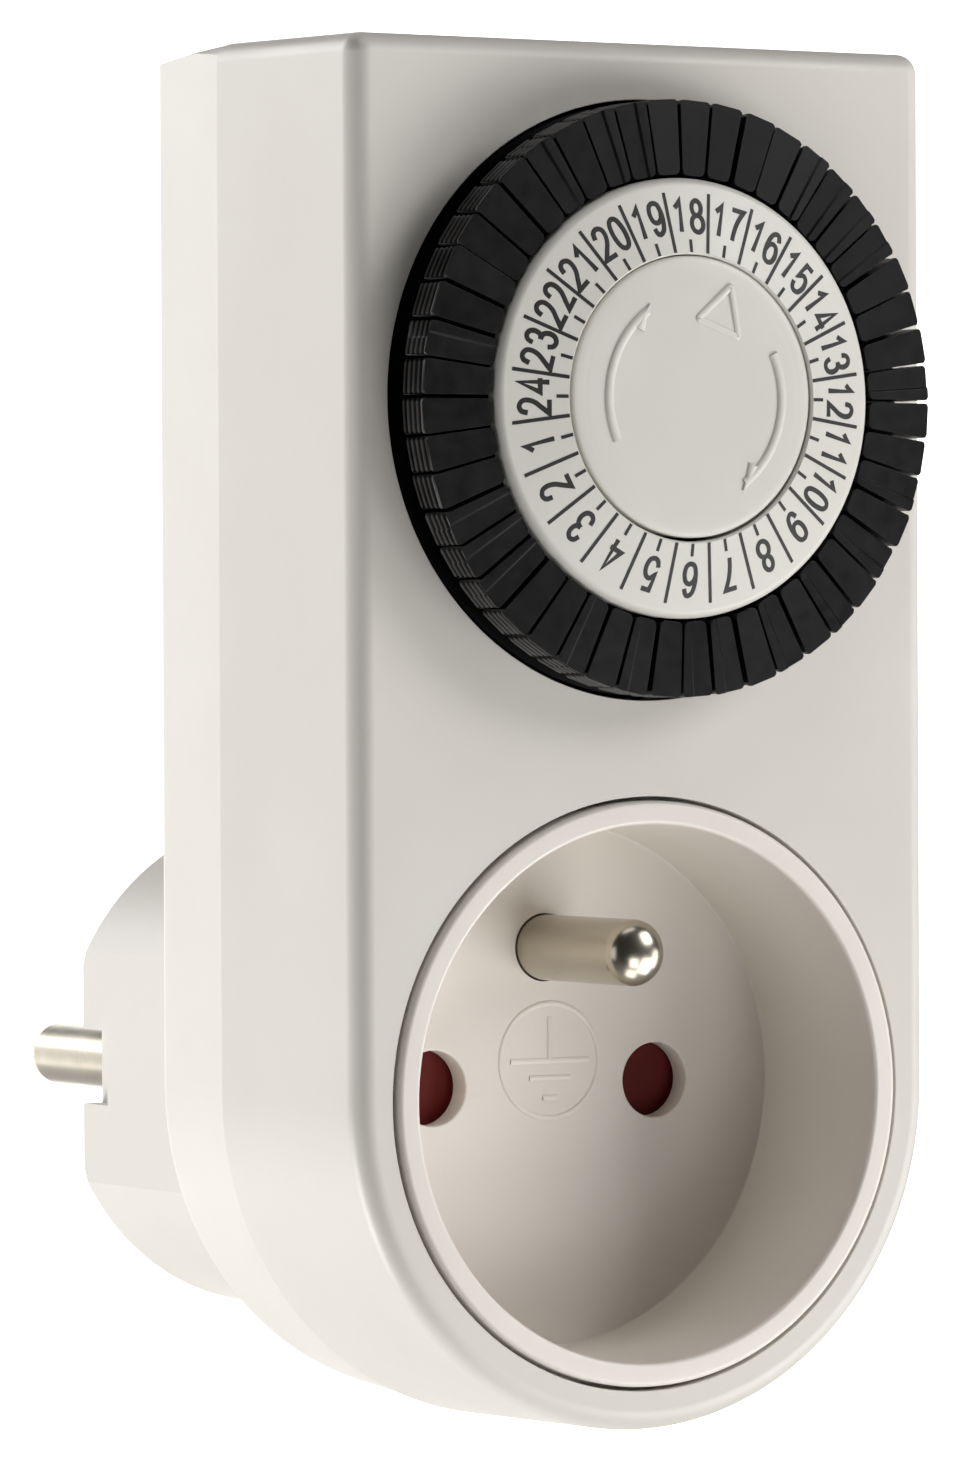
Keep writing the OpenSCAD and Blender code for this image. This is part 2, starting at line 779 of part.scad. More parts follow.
// Works plate, with lugs for the lever
module gearbox_plate() {
    color(c_works)
        difference() {
            union() {
                plate_along_y(plate_d, plate_back_d) {
                    translate([-plate_x, plate_z0])
                        square([2 * plate_x, plate_z1 - plate_z0]);
                    translate([lever_x - 3.4, plate_z1 - 1])
                        square([6.8, arm_top_z + 2.8 - plate_z1]);
                }
                for (side = [-1, 1])
                    lever_lug(side);
            }
            rod_y(0, dial_z, peg_r + fit, plate_d - 1, plate_back_d + 1);
            rod_y(drive_c[0], drive_c[1], axle_r, plate_d - 1, plate_back_d + 1);
            rod_y(reduction_c[0], reduction_c[1], axle_r, plate_d - 1, plate_back_d + 1);
            rod_y(rotor_c[0], rotor_c[1], shaft_r + fit, plate_d - 1, plate_back_d + 1);
            block([lever_x - 2, plate_d - 1, nub_z + 0.6], [lever_x + 2, plate_back_d + 1, arm_top_z + 0.8]);
            at_plate_posts()
                rod_y(0, 0, plate_screw_r + slide_gap, plate_d - 1, plate_back_d + 1);
            translate([lever_x, front_y + lever_d, lever_z])
                rotate([0, 90, 0])
                    cylinder(r = axle_r, h = 12, center = true);
        }
}

module lever_lug(side) {
    x = lever_x + side * (lever_w / 2 + 0.4 + 0.65);
    block([x - 0.65, lever_d - 1.8, lever_z - 1.8], [x + 0.65, plate_d + 0.5, lever_z + 1.8]);
}

// Fixed spindle of the dial
module dial_spindle() {
    color(c_steel)
        turned(0, dial_z, [
            [0, -hub_front + 0.9], [peg_r, -hub_front + 0.9], [peg_r, disc_d - 1.7],
            [spindle_r, disc_d - 1.7], [spindle_r, sleeve_back_d + 0.15],
            [spindle_collar_r, sleeve_back_d + 0.15], [spindle_collar_r, plate_d],
            [peg_r, plate_d], [peg_r, plate_back_d], [0, plate_back_d]
        ]);
}

// Fixed centre of the dial with the time mark and two turning arrows
module hub_cap() {
    mark = 0.2;
    color(c_ring) {
        difference() {
            union() {
                turned(0, dial_z, [
                    [0, -hub_front], [hub_r - 0.25, -hub_front], [hub_r, -hub_front + 0.25],
                    [hub_r, hub_back_d], [hub_boss_r, hub_back_d], [hub_boss_r, disc_d - 1.75],
                    [0, disc_d - 1.75]
                ]);
                plate_along_y(-hub_front - mark, -hub_front + 0.1)
                    translate(dial_c) {
                        time_mark();
                        turn_arrow(206, 117);
                        turn_arrow(24, -56);
                    }
            }
            rod_y(0, dial_z, peg_r + 0.02, -hub_front + 0.8, 0);
        }
    }
}

// Outline triangle that points outwards
module time_mark() {
    rotate(-23)
        translate([0, 6.5])
            difference() {
                rotate(90)
                    circle(2.25, $fn = 3);
                rotate(90)
                    circle(1.6, $fn = 3);
            }
}

// Curved arrow from angle a0, clockwise to a1
module turn_arrow(a0, a1) {
    r = 7.4;
    t = 0.28;
    polygon(concat(arc([0, 0], r + t, a0, a1, 12), arc([0, 0], r - t, a1, a0, 12)));
    translate(r * [cos(a1), sin(a1)])
        rotate(a1)
            polygon([[-0.6, 0.9], [0, -1.3], [1.1, 1], [0.25, 0.3]]);
}

// Outline of an involute gear with its first tooth at angle phase
module gear_outline(teeth, addendum, dedendum, phase) {
    rp = gear_m * teeth / 2;
    rb = rp * cos(20);
    r_tip = rp + addendum;
    r_root = rp - dedendum;
    half = 90 / teeth - backlash / 4 / rp * 180 / PI;
    r_start = max(rb, r_root + 0.05);
    flank = [for (i = [0 : 4]) r_start + (r_tip - r_start) * i / 4];
    root_half = tooth_half(r_start, rp, rb, half);
    rotate(phase)
        polygon([
            for (k = [0 : teeth - 1])
                let (
                    c = 360 * k / teeth,
                    right = [for (r = flank) r * dir(c - tooth_half(r, rp, rb, half))],
                    left = [for (i = [4 : -1 : 0]) flank[i] * dir(c + tooth_half(flank[i], rp, rb, half))]
                )
                each concat(
                    [r_root * dir(c - root_half)],
                    right,
                    left,
                    [r_root * dir(c + root_half)]
                )
        ]);
}

function dir(a) = [cos(a), sin(a)];

module wheel_outline(teeth, phase) {
    gear_outline(teeth, 0.6 * gear_m, 1.25 * gear_m, phase);
}

module pinion_outline(phase) {
    gear_outline(pinion_teeth, gear_m, 0.85 * gear_m, phase);
}

// Wheel and pinion on one bore. The wheel's first tooth is at 0
module compound_gear(c, teeth, wheel_d, pinion_d, pinion_t, phase) {
    front = min(wheel_d, pinion_d);
    back = max(wheel_d + wheel_t, pinion_d + pinion_t);
    color(c_works)
        difference() {
            union() {
                plate_along_y(wheel_d, wheel_d + wheel_t)
                    translate(c)
                        wheel_outline(teeth, 0);
                plate_along_y(pinion_d, pinion_d + pinion_t)
                    translate(c)
                        pinion_outline(phase);
                rod_y(c[0], c[1], pinion_r - 0.5, front, back);
            }
            rod_y(c[0], c[1], axle_r + fit, front - 1, back + 1);
        }
}

module drive_gear() {
    compound_gear(drive_c, drive_teeth, wheel_b_d, gear_a_d, pinion_a_t, phase_drive);
}

module reduction_gear() {
    compound_gear(reduction_c, reduction_teeth, wheel_c_d, wheel_b_d - 0.1, 1.9, phase_reduction);
}

// Stub axles of the two gears
module gear_axles() {
    color(c_steel) {
        rod_y(drive_c[0], drive_c[1], axle_r, gear_a_d - 0.2, plate_back_d);
        rod_y(reduction_c[0], reduction_c[1], axle_r, wheel_b_d - 0.3, plate_back_d);
    }
}

// Rotor: magnet, shaft and pinion
module motor_rotor() {
    color(c_steel) {
        plate_along_y(wheel_c_d - 0.1, wheel_c_d + wheel_t + 0.2)
            translate(rotor_c)
                pinion_outline(phase_rotor);
        rod_y(rotor_c[0], rotor_c[1], shaft_r, wheel_c_d - 0.6, can_back_d - 0.2);
        rod_y(rotor_c[0], rotor_c[1], magnet_r, plate_back_d + 1.2, can_back_d - can_wall - 1);
    }
}

module motor_can() {
    color(c_steel)
        difference() {
            rod_y(rotor_c[0], rotor_c[1], can_r, plate_back_d, can_back_d);
            rod_y(rotor_c[0], rotor_c[1], can_r - can_wall, plate_back_d - 1, can_back_d - can_wall);
            rod_y(rotor_c[0], rotor_c[1], shaft_r + fit, plate_back_d, can_back_d + 1);
            for (p = lead_starts)
                rod_y(p[0], p[1], 0.8, plate_back_d, can_back_d + 1);
        }
}

coil_back_d = can_back_d - can_wall - 0.6;
lead_starts = [[-pin_x, rotor_c[1] - 9.7], [rotor_c[0] + 4, rotor_c[1] - 8.6]];
lead_r = 0.5;

module motor_coil() {
    color(c_copper)
        difference() {
            rod_y(rotor_c[0], rotor_c[1], coil_r, plate_back_d + 0.6, coil_back_d);
            rod_y(rotor_c[0], rotor_c[1], coil_in_r, plate_back_d, coil_back_d + 1);
        }
}

// Two leads of the coil: one to the line strip, one to the neutral tail
module motor_leads() {
    p = lead_starts[0];
    q = lead_starts[1];
    back = bus_d + strip_t + 1.1;
    color("#3C3C3E")
        rod_y(p[0], p[1], lead_r, coil_back_d, feed_d);
    color("#7E8890") {
        rod_y(q[0], q[1], lead_r, coil_back_d, back);
        wire([q[0], back, q[1]], [pin_x, back, 18.4], lead_r);
        rod_y(pin_x, 18.4, lead_r, bus_d + strip_t, back);
    }
}

// Black wheel: disc, guide ring with 48 slots, drum, sleeve and dial gear
module dial_wheel() {
    color(c_wheel)
        difference() {
            union() {
                turned(0, dial_z, [
                    [spindle_r + fit, disc_d - 1.2], [sleeve_or, disc_d - 1.2],
                    [sleeve_or, disc_d], [ring_hole_r, disc_d],
                    [ring_hole_r, ring_back_d], [ring_hole_r + 1.3, ring_back_d],
                    [ring_hole_r + 1.3, disc_d], [drum_r - 1.3, disc_d],
                    [drum_r - 1.3, ring_back_d], [drum_r, ring_back_d], [drum_r, disc_d],
                    [disc_r, disc_d], [disc_r, disc_back_d], [guide_r, disc_back_d],
                    [guide_r, guide_back_d], [drum_r - 1.3, guide_back_d], [drum_r - 1.3, web_back_d],
                    [sleeve_or, web_back_d], [sleeve_or, sleeve_back_d], [spindle_r + fit, sleeve_back_d]
                ]);
                difference() {
                    plate_along_y(gear_a_d, gear_a_d + gear_a_t)
                        translate(dial_c)
                            wheel_outline(dial_teeth, 0);
                    rod_y(0, dial_z, sleeve_or - 0.5, gear_a_d - 1, gear_a_d + gear_a_t + 1);
                }
            }
            tongue_slots();
        }
}

module tongue_slots() {
    g = slide_gap;
    for (i = [0 : seg_count - 1])
        at_segment(i)
            block(
                [-tongue_w / 2 - g, disc_d - 1, tongue_r0 - g],
                [tongue_w / 2 + g, guide_back_d + 1, tongue_r1 + g]
            );
}

// Turns a child that stands at the top of the dial to segment i, clockwise from the top
module at_segment(i) {
    translate([0, 0, dial_z])
        rotate([0, seg_pitch * (i + 0.5), 0])
            children();
}

// White hour ring, clipped on the drum
module number_ring() {
    color(c_ring)
        turned(0, dial_z, [
            [ring_hole_r, ring_back_d], [ring_hole_r, -hub_front + 0.2], [ring_hole_r + 0.15, -hub_front + 0.05],
            [ring_r - 0.5, -5.25], [ring_r - 0.15, -5.1], [ring_r, -4.75], [ring_r, ring_back_d]
        ]);
}

// One segment at the top of the dial: a wedge head with grip ridges and a barbed tongue
module segment() {
    t = tan(seg_pitch / 2);
    g = seg_gap / 2;
    h = (seg_front + seg_back_d) / ridge_count;
    intersection() {
        translate([-3, 0, 0])
            rotate([90, 0, 90])
                linear_extrude(6)
                    polygon(concat(
                        [[front_y - seg_front, seg_in_r], [front_y - seg_front, seg_r - 0.25]],
                        [for (k = [0 : ridge_count - 1])
                            each [
                                [front_y - seg_front + h * k + 0.15, seg_r],
                                [front_y - seg_front + h * (k + 0.55), seg_r],
                                [front_y - seg_front + h * (k + 0.7), seg_r - ridge_depth],
                                [front_y - seg_front + h * (k + 1), seg_r - ridge_depth]
                            ]
                        ],
                        [[front_y + seg_back_d, seg_in_r]]
                    ));
        plate_along_y(-seg_front - 1, 0)
            polygon([
                [g - seg_in_r * t, seg_in_r], [seg_in_r * t - g, seg_in_r],
                [seg_r * t - g, seg_r], [g - seg_r * t, seg_r]
            ]);
    }
    block([-tongue_w / 2, seg_back_d - 0.5, tongue_r0], [tongue_w / 2, tongue_d, tongue_r1]);
    block(
        [-tongue_w / 2, guide_back_d + slide_gap, tongue_r0 - barb],
        [tongue_w / 2, tongue_d, tongue_r0 + 1]
    );
}

// The two segments of hour k, counted clockwise from the top
module segments_hour(k) {
    color(c_segment)
        for (i = [2 * k - 2, 2 * k - 1])
            at_segment(i)
                segment();
}

// Lever that the pushed in segments press, with its finger behind the plate
module cam_lever() {
    w = lever_w / 2;
    color(c_shutter)
        difference() {
            union() {
                block([lever_x - w, lever_d - 1, lever_z], [lever_x + w, lever_d + 0.6, arm_top_z]);
                block([lever_x - 1, lever_d, arm_top_z - finger_h], [lever_x + 1, finger_end_d, arm_top_z]);
                rod_y(lever_x, nub_z, nub_r, nub_d, lever_d);
                translate([lever_x, front_y + lever_d, lever_z])
                    rotate([0, 90, 0])
                        cylinder(r = lever_hub_r, h = lever_w, center = true);
            }
            translate([lever_x, front_y + lever_d, lever_z])
                rotate([0, 90, 0])
                    cylinder(r = axle_r + fit, h = lever_w + 2, center = true);
        }
}

module lever_pin() {
    color(c_steel)
        translate([lever_x, front_y + lever_d, lever_z])
            rotate([0, 90, 0])
                cylinder(r = axle_r, h = lever_w + 3.6, center = true);
}

// Insulating block that holds the contacts
module switch_body() {
    color(c_works) {
        for (x = [switch_x0, switch_x1 - switch_wall])
            block([x, plate_back_d, switch_z0], [x + switch_wall, fixed_d + strip_t + 0.6, switch_z1]);
        block(
            [switch_x0, plate_back_d, switch_z0],
            [switch_x1, bus_d - 0.4, terminal_z]
        );
        block([switch_x0, fixed_d - 1, switch_z1 - 2], [switch_x1, fixed_d + strip_t + 0.6, switch_z1]);
    }
}

// Fixed contact with its rivet and its tail to the line strip
module fixed_contact() {
    half = strip_w / 2;
    x0 = switch_x0 + switch_wall;
    x1 = switch_x1 - switch_wall;
    color(c_brass) {
        block([x0, fixed_d, feed_z + 0.1], [x1, fixed_d + strip_t, switch_z1 - 2]);
        rod_y(lever_x, rivet_z, rivet_r, fixed_d - rivet_h, fixed_d + 0.1);
        block([lever_x - half, fixed_d, feed_z + 0.1], [lever_x + half, feed_d, feed_z + 1.1]);
    }
}

// Moving contact blade with its rivet
module moving_contact() {
    color(c_brass) {
        block([lever_x - 1.2, blade_d, blade_z0], [lever_x + 1.2, blade_d + blade_t, arm_top_z - 0.3]);
        rod_y(lever_x, rivet_z, rivet_r, blade_d + 0.1, blade_d + blade_t + rivet_h);
    }
}

// Screw at the origin of x and z: head of radius r, thread of radius t
module screw(r, t, head_d0, head_d1, tip_d) {
    difference() {
        union() {
            rod_y(0, 0, r, head_d0, head_d1);
            rod_y(0, 0, t, tip_d, head_d0 + 0.1);
        }
        block([-r * 0.7, head_d1 - 0.6, -0.25], [r * 0.7, head_d1 + 1, 0.25]);
        block([-0.25, head_d1 - 0.6, -r * 0.7], [0.25, head_d1 + 1, r * 0.7]);
    }
}

module case_screws() {
    d0 = body_depth - head_recess;
    color(c_steel)
        at_case_posts()
            screw(case_head_r, case_screw_r, d0, d0 + head_h, thread_d);
}

module plate_screws() {
    color(c_steel)
        at_plate_posts()
            screw(plate_head_r, plate_screw_r, plate_back_d, plate_back_d + 1.4, plate_d - 5);
}

rear_cover();
front_cover();
socket_insert();
contact_carrier();
earth_pin();
earth_strip();
earth_clips();
plug_pin_left();
plug_pin_right();
line_contact();
neutral_contact();
line_strip();
hub_cap();
dial_spindle();
gearbox_plate();
motor_can();
motor_coil();
motor_leads();
motor_rotor();
reduction_gear();
drive_gear();
gear_axles();
dial_wheel();
number_ring();
cam_lever();
lever_pin();
switch_body();
fixed_contact();
moving_contact();
shutter();
shutter_spring();
case_screws();
plate_screws();
segments_hour(1);  // segments_hour_01
segments_hour(2);  // segments_hour_02
segments_hour(3);  // segments_hour_03
segments_hour(4);  // segments_hour_04
segments_hour(5);  // segments_hour_05
segments_hour(6);  // segments_hour_06
segments_hour(7);  // segments_hour_07
segments_hour(8);  // segments_hour_08
segments_hour(9);  // segments_hour_09
segments_hour(10);  // segments_hour_10
segments_hour(11);  // segments_hour_11
segments_hour(12);  // segments_hour_12
segments_hour(13);  // segments_hour_13
segments_hour(14);  // segments_hour_14
segments_hour(15);  // segments_hour_15
segments_hour(16);  // segments_hour_16
segments_hour(17);  // segments_hour_17
segments_hour(18);  // segments_hour_18
segments_hour(19);  // segments_hour_19
segments_hour(20);  // segments_hour_20
segments_hour(21);  // segments_hour_21
segments_hour(22);  // segments_hour_22
segments_hour(23);  // segments_hour_23
segments_hour(24);  // segments_hour_24
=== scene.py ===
"""Studio scene of a plug in timer switch: case, dial of push segments, socket and plug."""

import logging
import math
import random
from contextlib import contextmanager
from dataclasses import dataclass, field
from enum import Enum
from typing import Callable, Iterator, Sequence

import bmesh
import bpy
from mathutils import Matrix, Vector


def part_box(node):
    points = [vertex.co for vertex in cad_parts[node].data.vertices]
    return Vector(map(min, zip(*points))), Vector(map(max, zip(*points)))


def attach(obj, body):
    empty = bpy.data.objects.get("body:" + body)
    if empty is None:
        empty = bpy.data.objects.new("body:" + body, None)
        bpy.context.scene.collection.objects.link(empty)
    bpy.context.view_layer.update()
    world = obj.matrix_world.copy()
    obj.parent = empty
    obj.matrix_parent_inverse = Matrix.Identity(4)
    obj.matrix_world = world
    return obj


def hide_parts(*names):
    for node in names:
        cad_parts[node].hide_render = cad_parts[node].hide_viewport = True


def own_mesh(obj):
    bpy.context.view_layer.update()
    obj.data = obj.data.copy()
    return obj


LOG = logging.getLogger("timer_switch")
Pair = tuple[float, float]
Triple = tuple[float, float, float]
Outline = Sequence[Pair]
Piece = bpy.types.Object
Tree = bpy.types.NodeTree
Output = bpy.types.NodeSocket

MM = 0.001
# Where the case's face and the dial's axis are in the frame, in millimetres.
FACE_Y = -54.5
DIAL_Z = 49.5
# How far a cutter passes what it cuts, in millimetres.
CLEAR = 1.0
# Metres within which a place counts as met, and within which vertices merge.
NEAR = 1e-6
DOUBLE = 2e-6
# Steps in the turn of a large round form.
FINE = 160
# The rows of vertices across a ribbon: their places, and how far each one rises.
ROWS = (-1, -0.75, 0, 0.75, 1)
RISES = (0, 0.85, 1, 0.85, 0)
# The Mix node's colour sockets, which share their names with its other sockets.
MIX_SHARE, MIX_FIRST, MIX_SECOND, MIX_RESULT = 0, 6, 7, 2

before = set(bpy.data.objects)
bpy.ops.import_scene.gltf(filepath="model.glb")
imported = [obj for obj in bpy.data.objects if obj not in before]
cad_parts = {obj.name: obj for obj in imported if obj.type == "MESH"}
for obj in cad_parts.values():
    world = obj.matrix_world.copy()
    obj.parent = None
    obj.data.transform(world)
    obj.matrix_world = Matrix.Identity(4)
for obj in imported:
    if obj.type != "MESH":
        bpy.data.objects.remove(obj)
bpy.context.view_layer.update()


class Body(Enum):
    """The moving bodies that pieces ride on, apart from the hours' segments."""

    CASE = "root"
    DIAL = "dial"


class Pick(Enum):
    """What a selection in edit mode is made of."""

    VERTS = "VERT"
    EDGES = "EDGE"
    FACES = "FACE"


def at(x: float, depth: float, z: float) -> Vector:
    """Gives a point in metres from millimetres, with the depth measured back from the case's face."""
    return Vector((x * MM, (FACE_Y + depth) * MM, z * MM))


def linear(code: str) -> tuple[float, float, float, float]:
    """Turns an sRGB hex colour to linear.

    Args:
        code: The colour as six hex digits after a hash.

    Returns:
        Linear red, green, blue and an alpha of one.
    """
    parts = [int(code[i : i + 2], 16) / 255 for i in (1, 3, 5)]
    red, green, blue = [c / 12.92 if c <= 0.04045 else ((c + 0.055) / 1.055) ** 2.4 for c in parts]
    return red, green, blue, 1.0


def arc(cx: float, cy: float, r: float, start: float, end: float, steps: int) -> list[Pair]:
    """Gives points on an arc round a centre from one angle in degrees to another, ends included."""
    angles = [math.radians(start + (end - start) * i / steps) for i in range(steps + 1)]
    return [(cx + r * math.cos(a), cy + r * math.sin(a)) for a in angles]


def eased(points: Outline, closed: bool, steps: int = 4) -> list[Pair]:
    """Runs a smooth curve through points.

    Args:
        points: The points in order.
        closed: Whether the curve returns to its first point.
        steps: Number of steps from one point to the next.

    Returns:
        Points on the curve.
    """
    ends = [points[-1], *points, *points[:2]] if closed else [points[0], *points, points[-1]]
    curve = [points[0]]
    for four in zip(ends, ends[1:], ends[2:], ends[3:]):
        terms = [(2 * q, r - p, 2 * p - 5 * q + 4 * r - s, 3 * q - p - 3 * r + s) for p, q, r, s in zip(*four)]
        for t in (i / steps for i in range(1, steps + 1)):
            curve.append(tuple(0.5 * (a + b * t + c * t**2 + d * t**3) for a, b, c, d in terms))
    return curve[:-1] if closed else curve


# Modelling by hand


def choose(obj: Piece) -> None:
    """Selects one object alone and makes it active."""
    for other in list(bpy.context.selected_objects):
        other.select_set(False)
    obj.select_set(True)
    bpy.context.view_layer.objects.active = obj


@contextmanager
def editing(obj: Piece) -> Iterator[None]:
    """Opens one object in edit mode with all of it selected, and closes it again."""
    choose(obj)
    bpy.ops.object.mode_set(mode="EDIT")
    bpy.ops.mesh.select_mode(type="VERT")
    bpy.ops.mesh.select_all(action="SELECT")
    try:
        yield
    finally:
        bpy.ops.object.mode_set(mode="OBJECT")


def pick(obj: Piece, kind: Pick, test: Callable[..., bool]) -> None:
    """Selects what passes a test, in edit mode.

    Args:
        obj: The object that is open in edit mode.
        kind: Whether vertices, edges or faces are tested.
        test: Says whether an element is wanted.
    """
    bpy.ops.mesh.select_mode(type=kind.value)
    bpy.ops.mesh.select_all(action="DESELECT")
    mesh = bmesh.from_edit_mesh(obj.data)
    for e in {Pick.VERTS: mesh.verts, Pick.EDGES: mesh.edges, Pick.FACES: mesh.faces}[kind]:
        if test(e):
            e.select_set(True)
    mesh.select_flush_mode()
    bmesh.update_edit_mesh(obj.data)


def runs_back(edge: bmesh.types.BMEdge) -> bool:
    """Says whether an edge runs from front to back."""
    return abs(edge.verts[0].co.y - edge.verts[1].co.y) > 0.1 * MM


def split(obj: Piece, test: Callable[..., bool], spot: Vector, across: Triple) -> None:
    """Cuts the faces that pass a test along a plane through a spot, in edit mode."""
    pick(obj, Pick.FACES, test)
    bpy.ops.mesh.bisect(plane_co=spot, plane_no=across)


def settle() -> None:
    """Merges doubles and turns all faces outwards, in edit mode."""
    bpy.ops.mesh.select_all(action="SELECT")
    bpy.ops.mesh.remove_doubles(threshold=DOUBLE)
    bpy.ops.mesh.normals_make_consistent(inside=False)


def fresh(name: str) -> Piece:
    """Names the new primitive and settles its place in its mesh."""
    obj = bpy.context.object
    obj.name = obj.data.name = name
    choose(obj)
    bpy.ops.object.transform_apply(location=True, rotation=True, scale=True)
    return obj


def turned(name: str, outline: Outline, x: float = 0.0, z: float = 0.0, steps: int = FINE) -> Piece:
    """Turns an outline about an axis along Y.

    Args:
        name: Name of the piece.
        outline: Pairs of radius and depth in millimetres.
        x: Place of the axis.
        z: Height of the axis.
        steps: Number of steps in the turn.

    Returns:
        The closed turned piece.
    """
    bpy.ops.mesh.primitive_plane_add(size=MM, location=(0, 0, 0))
    obj = fresh(name)
    points = [at(x + r, d, z) for r, d in outline]
    with editing(obj):
        bpy.ops.mesh.merge(type="CENTER")
        bpy.ops.transform.translate(value=points[0])
        for here, there in zip(points, points[1:]):
            bpy.ops.mesh.extrude_vertices_move(TRANSFORM_OT_translate={"value": there - here})
        bpy.ops.mesh.select_all(action="SELECT")
        bpy.ops.mesh.spin(steps=steps, angle=2 * math.pi, center=at(x, 0, z), axis=(0, 1, 0))
        settle()
    return obj


def rod(x: float, z: float, r: float, d0: float, d1: float) -> Piece:
    """Makes a round rod along Y, as a cutter or a post."""
    return turned("rod", [(0, d0), (r, d0), (r, d1), (0, d1)], x, z, 48)


def block(low: Triple, high: Triple) -> Piece:
    """Makes a block between two corners of x, depth and z."""
    a, b = at(*low), at(*high)
    bpy.ops.mesh.primitive_cube_add(size=1, location=(a + b) / 2, scale=b - a)
    return fresh("block")


def ribbon(path: Outline, widths: Pair, base: float, crest: float, closed: bool = False) -> Piece:
    """Bends a flat strip along a path on the front, as a printed line or a ridge with rounded shoulders.

    Args:
        path: Pairs of x and z along its middle, in millimetres.
        widths: Its width at the path's start and end.
        base: Depth of its foot, sunk in what carries it.
        crest: Depth of its top.
        closed: Whether the path returns to its start.

    Returns:
        The closed line.
    """
    count = len(path)
    stops = [*range(count), 0] if closed else [0, *range(count), count - 1]
    last, rows = len(stops) - 1, len(ROWS) - 1
    bpy.ops.mesh.primitive_grid_add(x_subdivisions=last, y_subdivisions=rows, size=1)
    obj = fresh("ribbon")
    for v in obj.data.vertices:
        column, row = round((v.co.x + 0.5) * last), round((v.co.y + 0.5) * rows)
        i = stops[column]
        here = Vector(path[i])
        before = here - Vector(path[i - 1]) if closed or i else Vector(path[1]) - here
        after = Vector(path[(i + 1) % count]) - here if closed or i < count - 1 else before
        before.normalize()
        after.normalize()
        mitre = (before + after).normalized()
        half = (widths[0] + (widths[1] - widths[0]) * i / (count - 1)) / 2 / max(0.5, mitre.dot(before))
        across = here + Vector((-mitre.y, mitre.x)) * half * ROWS[row]
        rise = RISES[row] if closed or 0 < column < last else 0
        v.co = at(across.x, base + (crest - base) * rise, across.y)
    with editing(obj):
        settle()
        bpy.ops.mesh.select_all(action="SELECT")
        bpy.ops.mesh.extrude_region_move(TRANSFORM_OT_translate={"value": (0, 0.03 * MM, 0)})
        settle()
    return obj


def combine(target: Piece, tool: Piece, operation: str = "DIFFERENCE") -> None:
    """Cuts a tool from a piece, or adds it, and removes the tool."""
    step = target.modifiers.new("combine", "BOOLEAN")
    step.operation, step.solver, step.object = operation, "EXACT", tool
    choose(target)
    bpy.ops.object.modifier_apply(modifier=step.name)
    bpy.data.objects.remove(tool)


def join(name: str, pieces: Sequence[Piece]) -> Piece:
    """Joins pieces into one object."""
    choose(pieces[0])
    for piece in pieces[1:]:
        piece.select_set(True)
    if len(pieces) > 1:
        bpy.ops.object.join()
    pieces[0].name = pieces[0].data.name = name
    return pieces[0]


def round_edges(obj: Piece, width: float, angle: float = 40) -> Piece:
    """Breaks the edges of a finished piece that turn by more than an angle."""
    step = obj.modifiers.new("edges", "BEVEL")
    step.width, step.segments = width * MM, 2
    step.limit_method, step.angle_limit = "ANGLE", math.radians(angle)
    choose(obj)
    bpy.ops.object.modifier_apply(modifier=step.name)
    return obj


def smooth(obj: Piece, angle: float = 32) -> Piece:
    """Shades a piece smooth, with flat faces kept flat."""
    choose(obj)
    bpy.ops.object.shade_smooth_by_angle(angle=math.radians(angle))
    step = obj.modifiers.new("normals", "WEIGHTED_NORMAL")
    step.keep_sharp, step.weight = True, 80
    bpy.ops.object.modifier_apply(modifier=step.name)
    return obj


def copied(obj: Piece, name: str, turn: Matrix) -> Piece:
    """Copies a piece with its own mesh, turned by a matrix."""
    twin = obj.copy()
    twin.data = obj.data.copy()
    twin.name = twin.data.name = name
    twin.data.transform(turn)
    bpy.context.scene.collection.objects.link(twin)
    return twin


# Finishes


def add(tree: Tree, kind: str, settings: dict | None = None, links: dict | None = None) -> bpy.types.Node:
    """Adds a node with its settings and links.

    Args:
        tree: The material's node tree.
        kind: Blender's name of the node, after ShaderNode.
        settings: Values by the name or number of a socket, or by the name of a property.
        links: Output sockets by the name or number of the input that they feed.

    Returns:
        The new node.
    """
    node = tree.nodes.new("ShaderNode" + kind)
    for key, value in (settings or {}).items():
        if isinstance(key, str) and hasattr(node, key):
            setattr(node, key, value)
        else:
            node.inputs[key].default_value = value
    for key, source in (links or {}).items():
        tree.links.new(source, node.inputs[key])
    return node


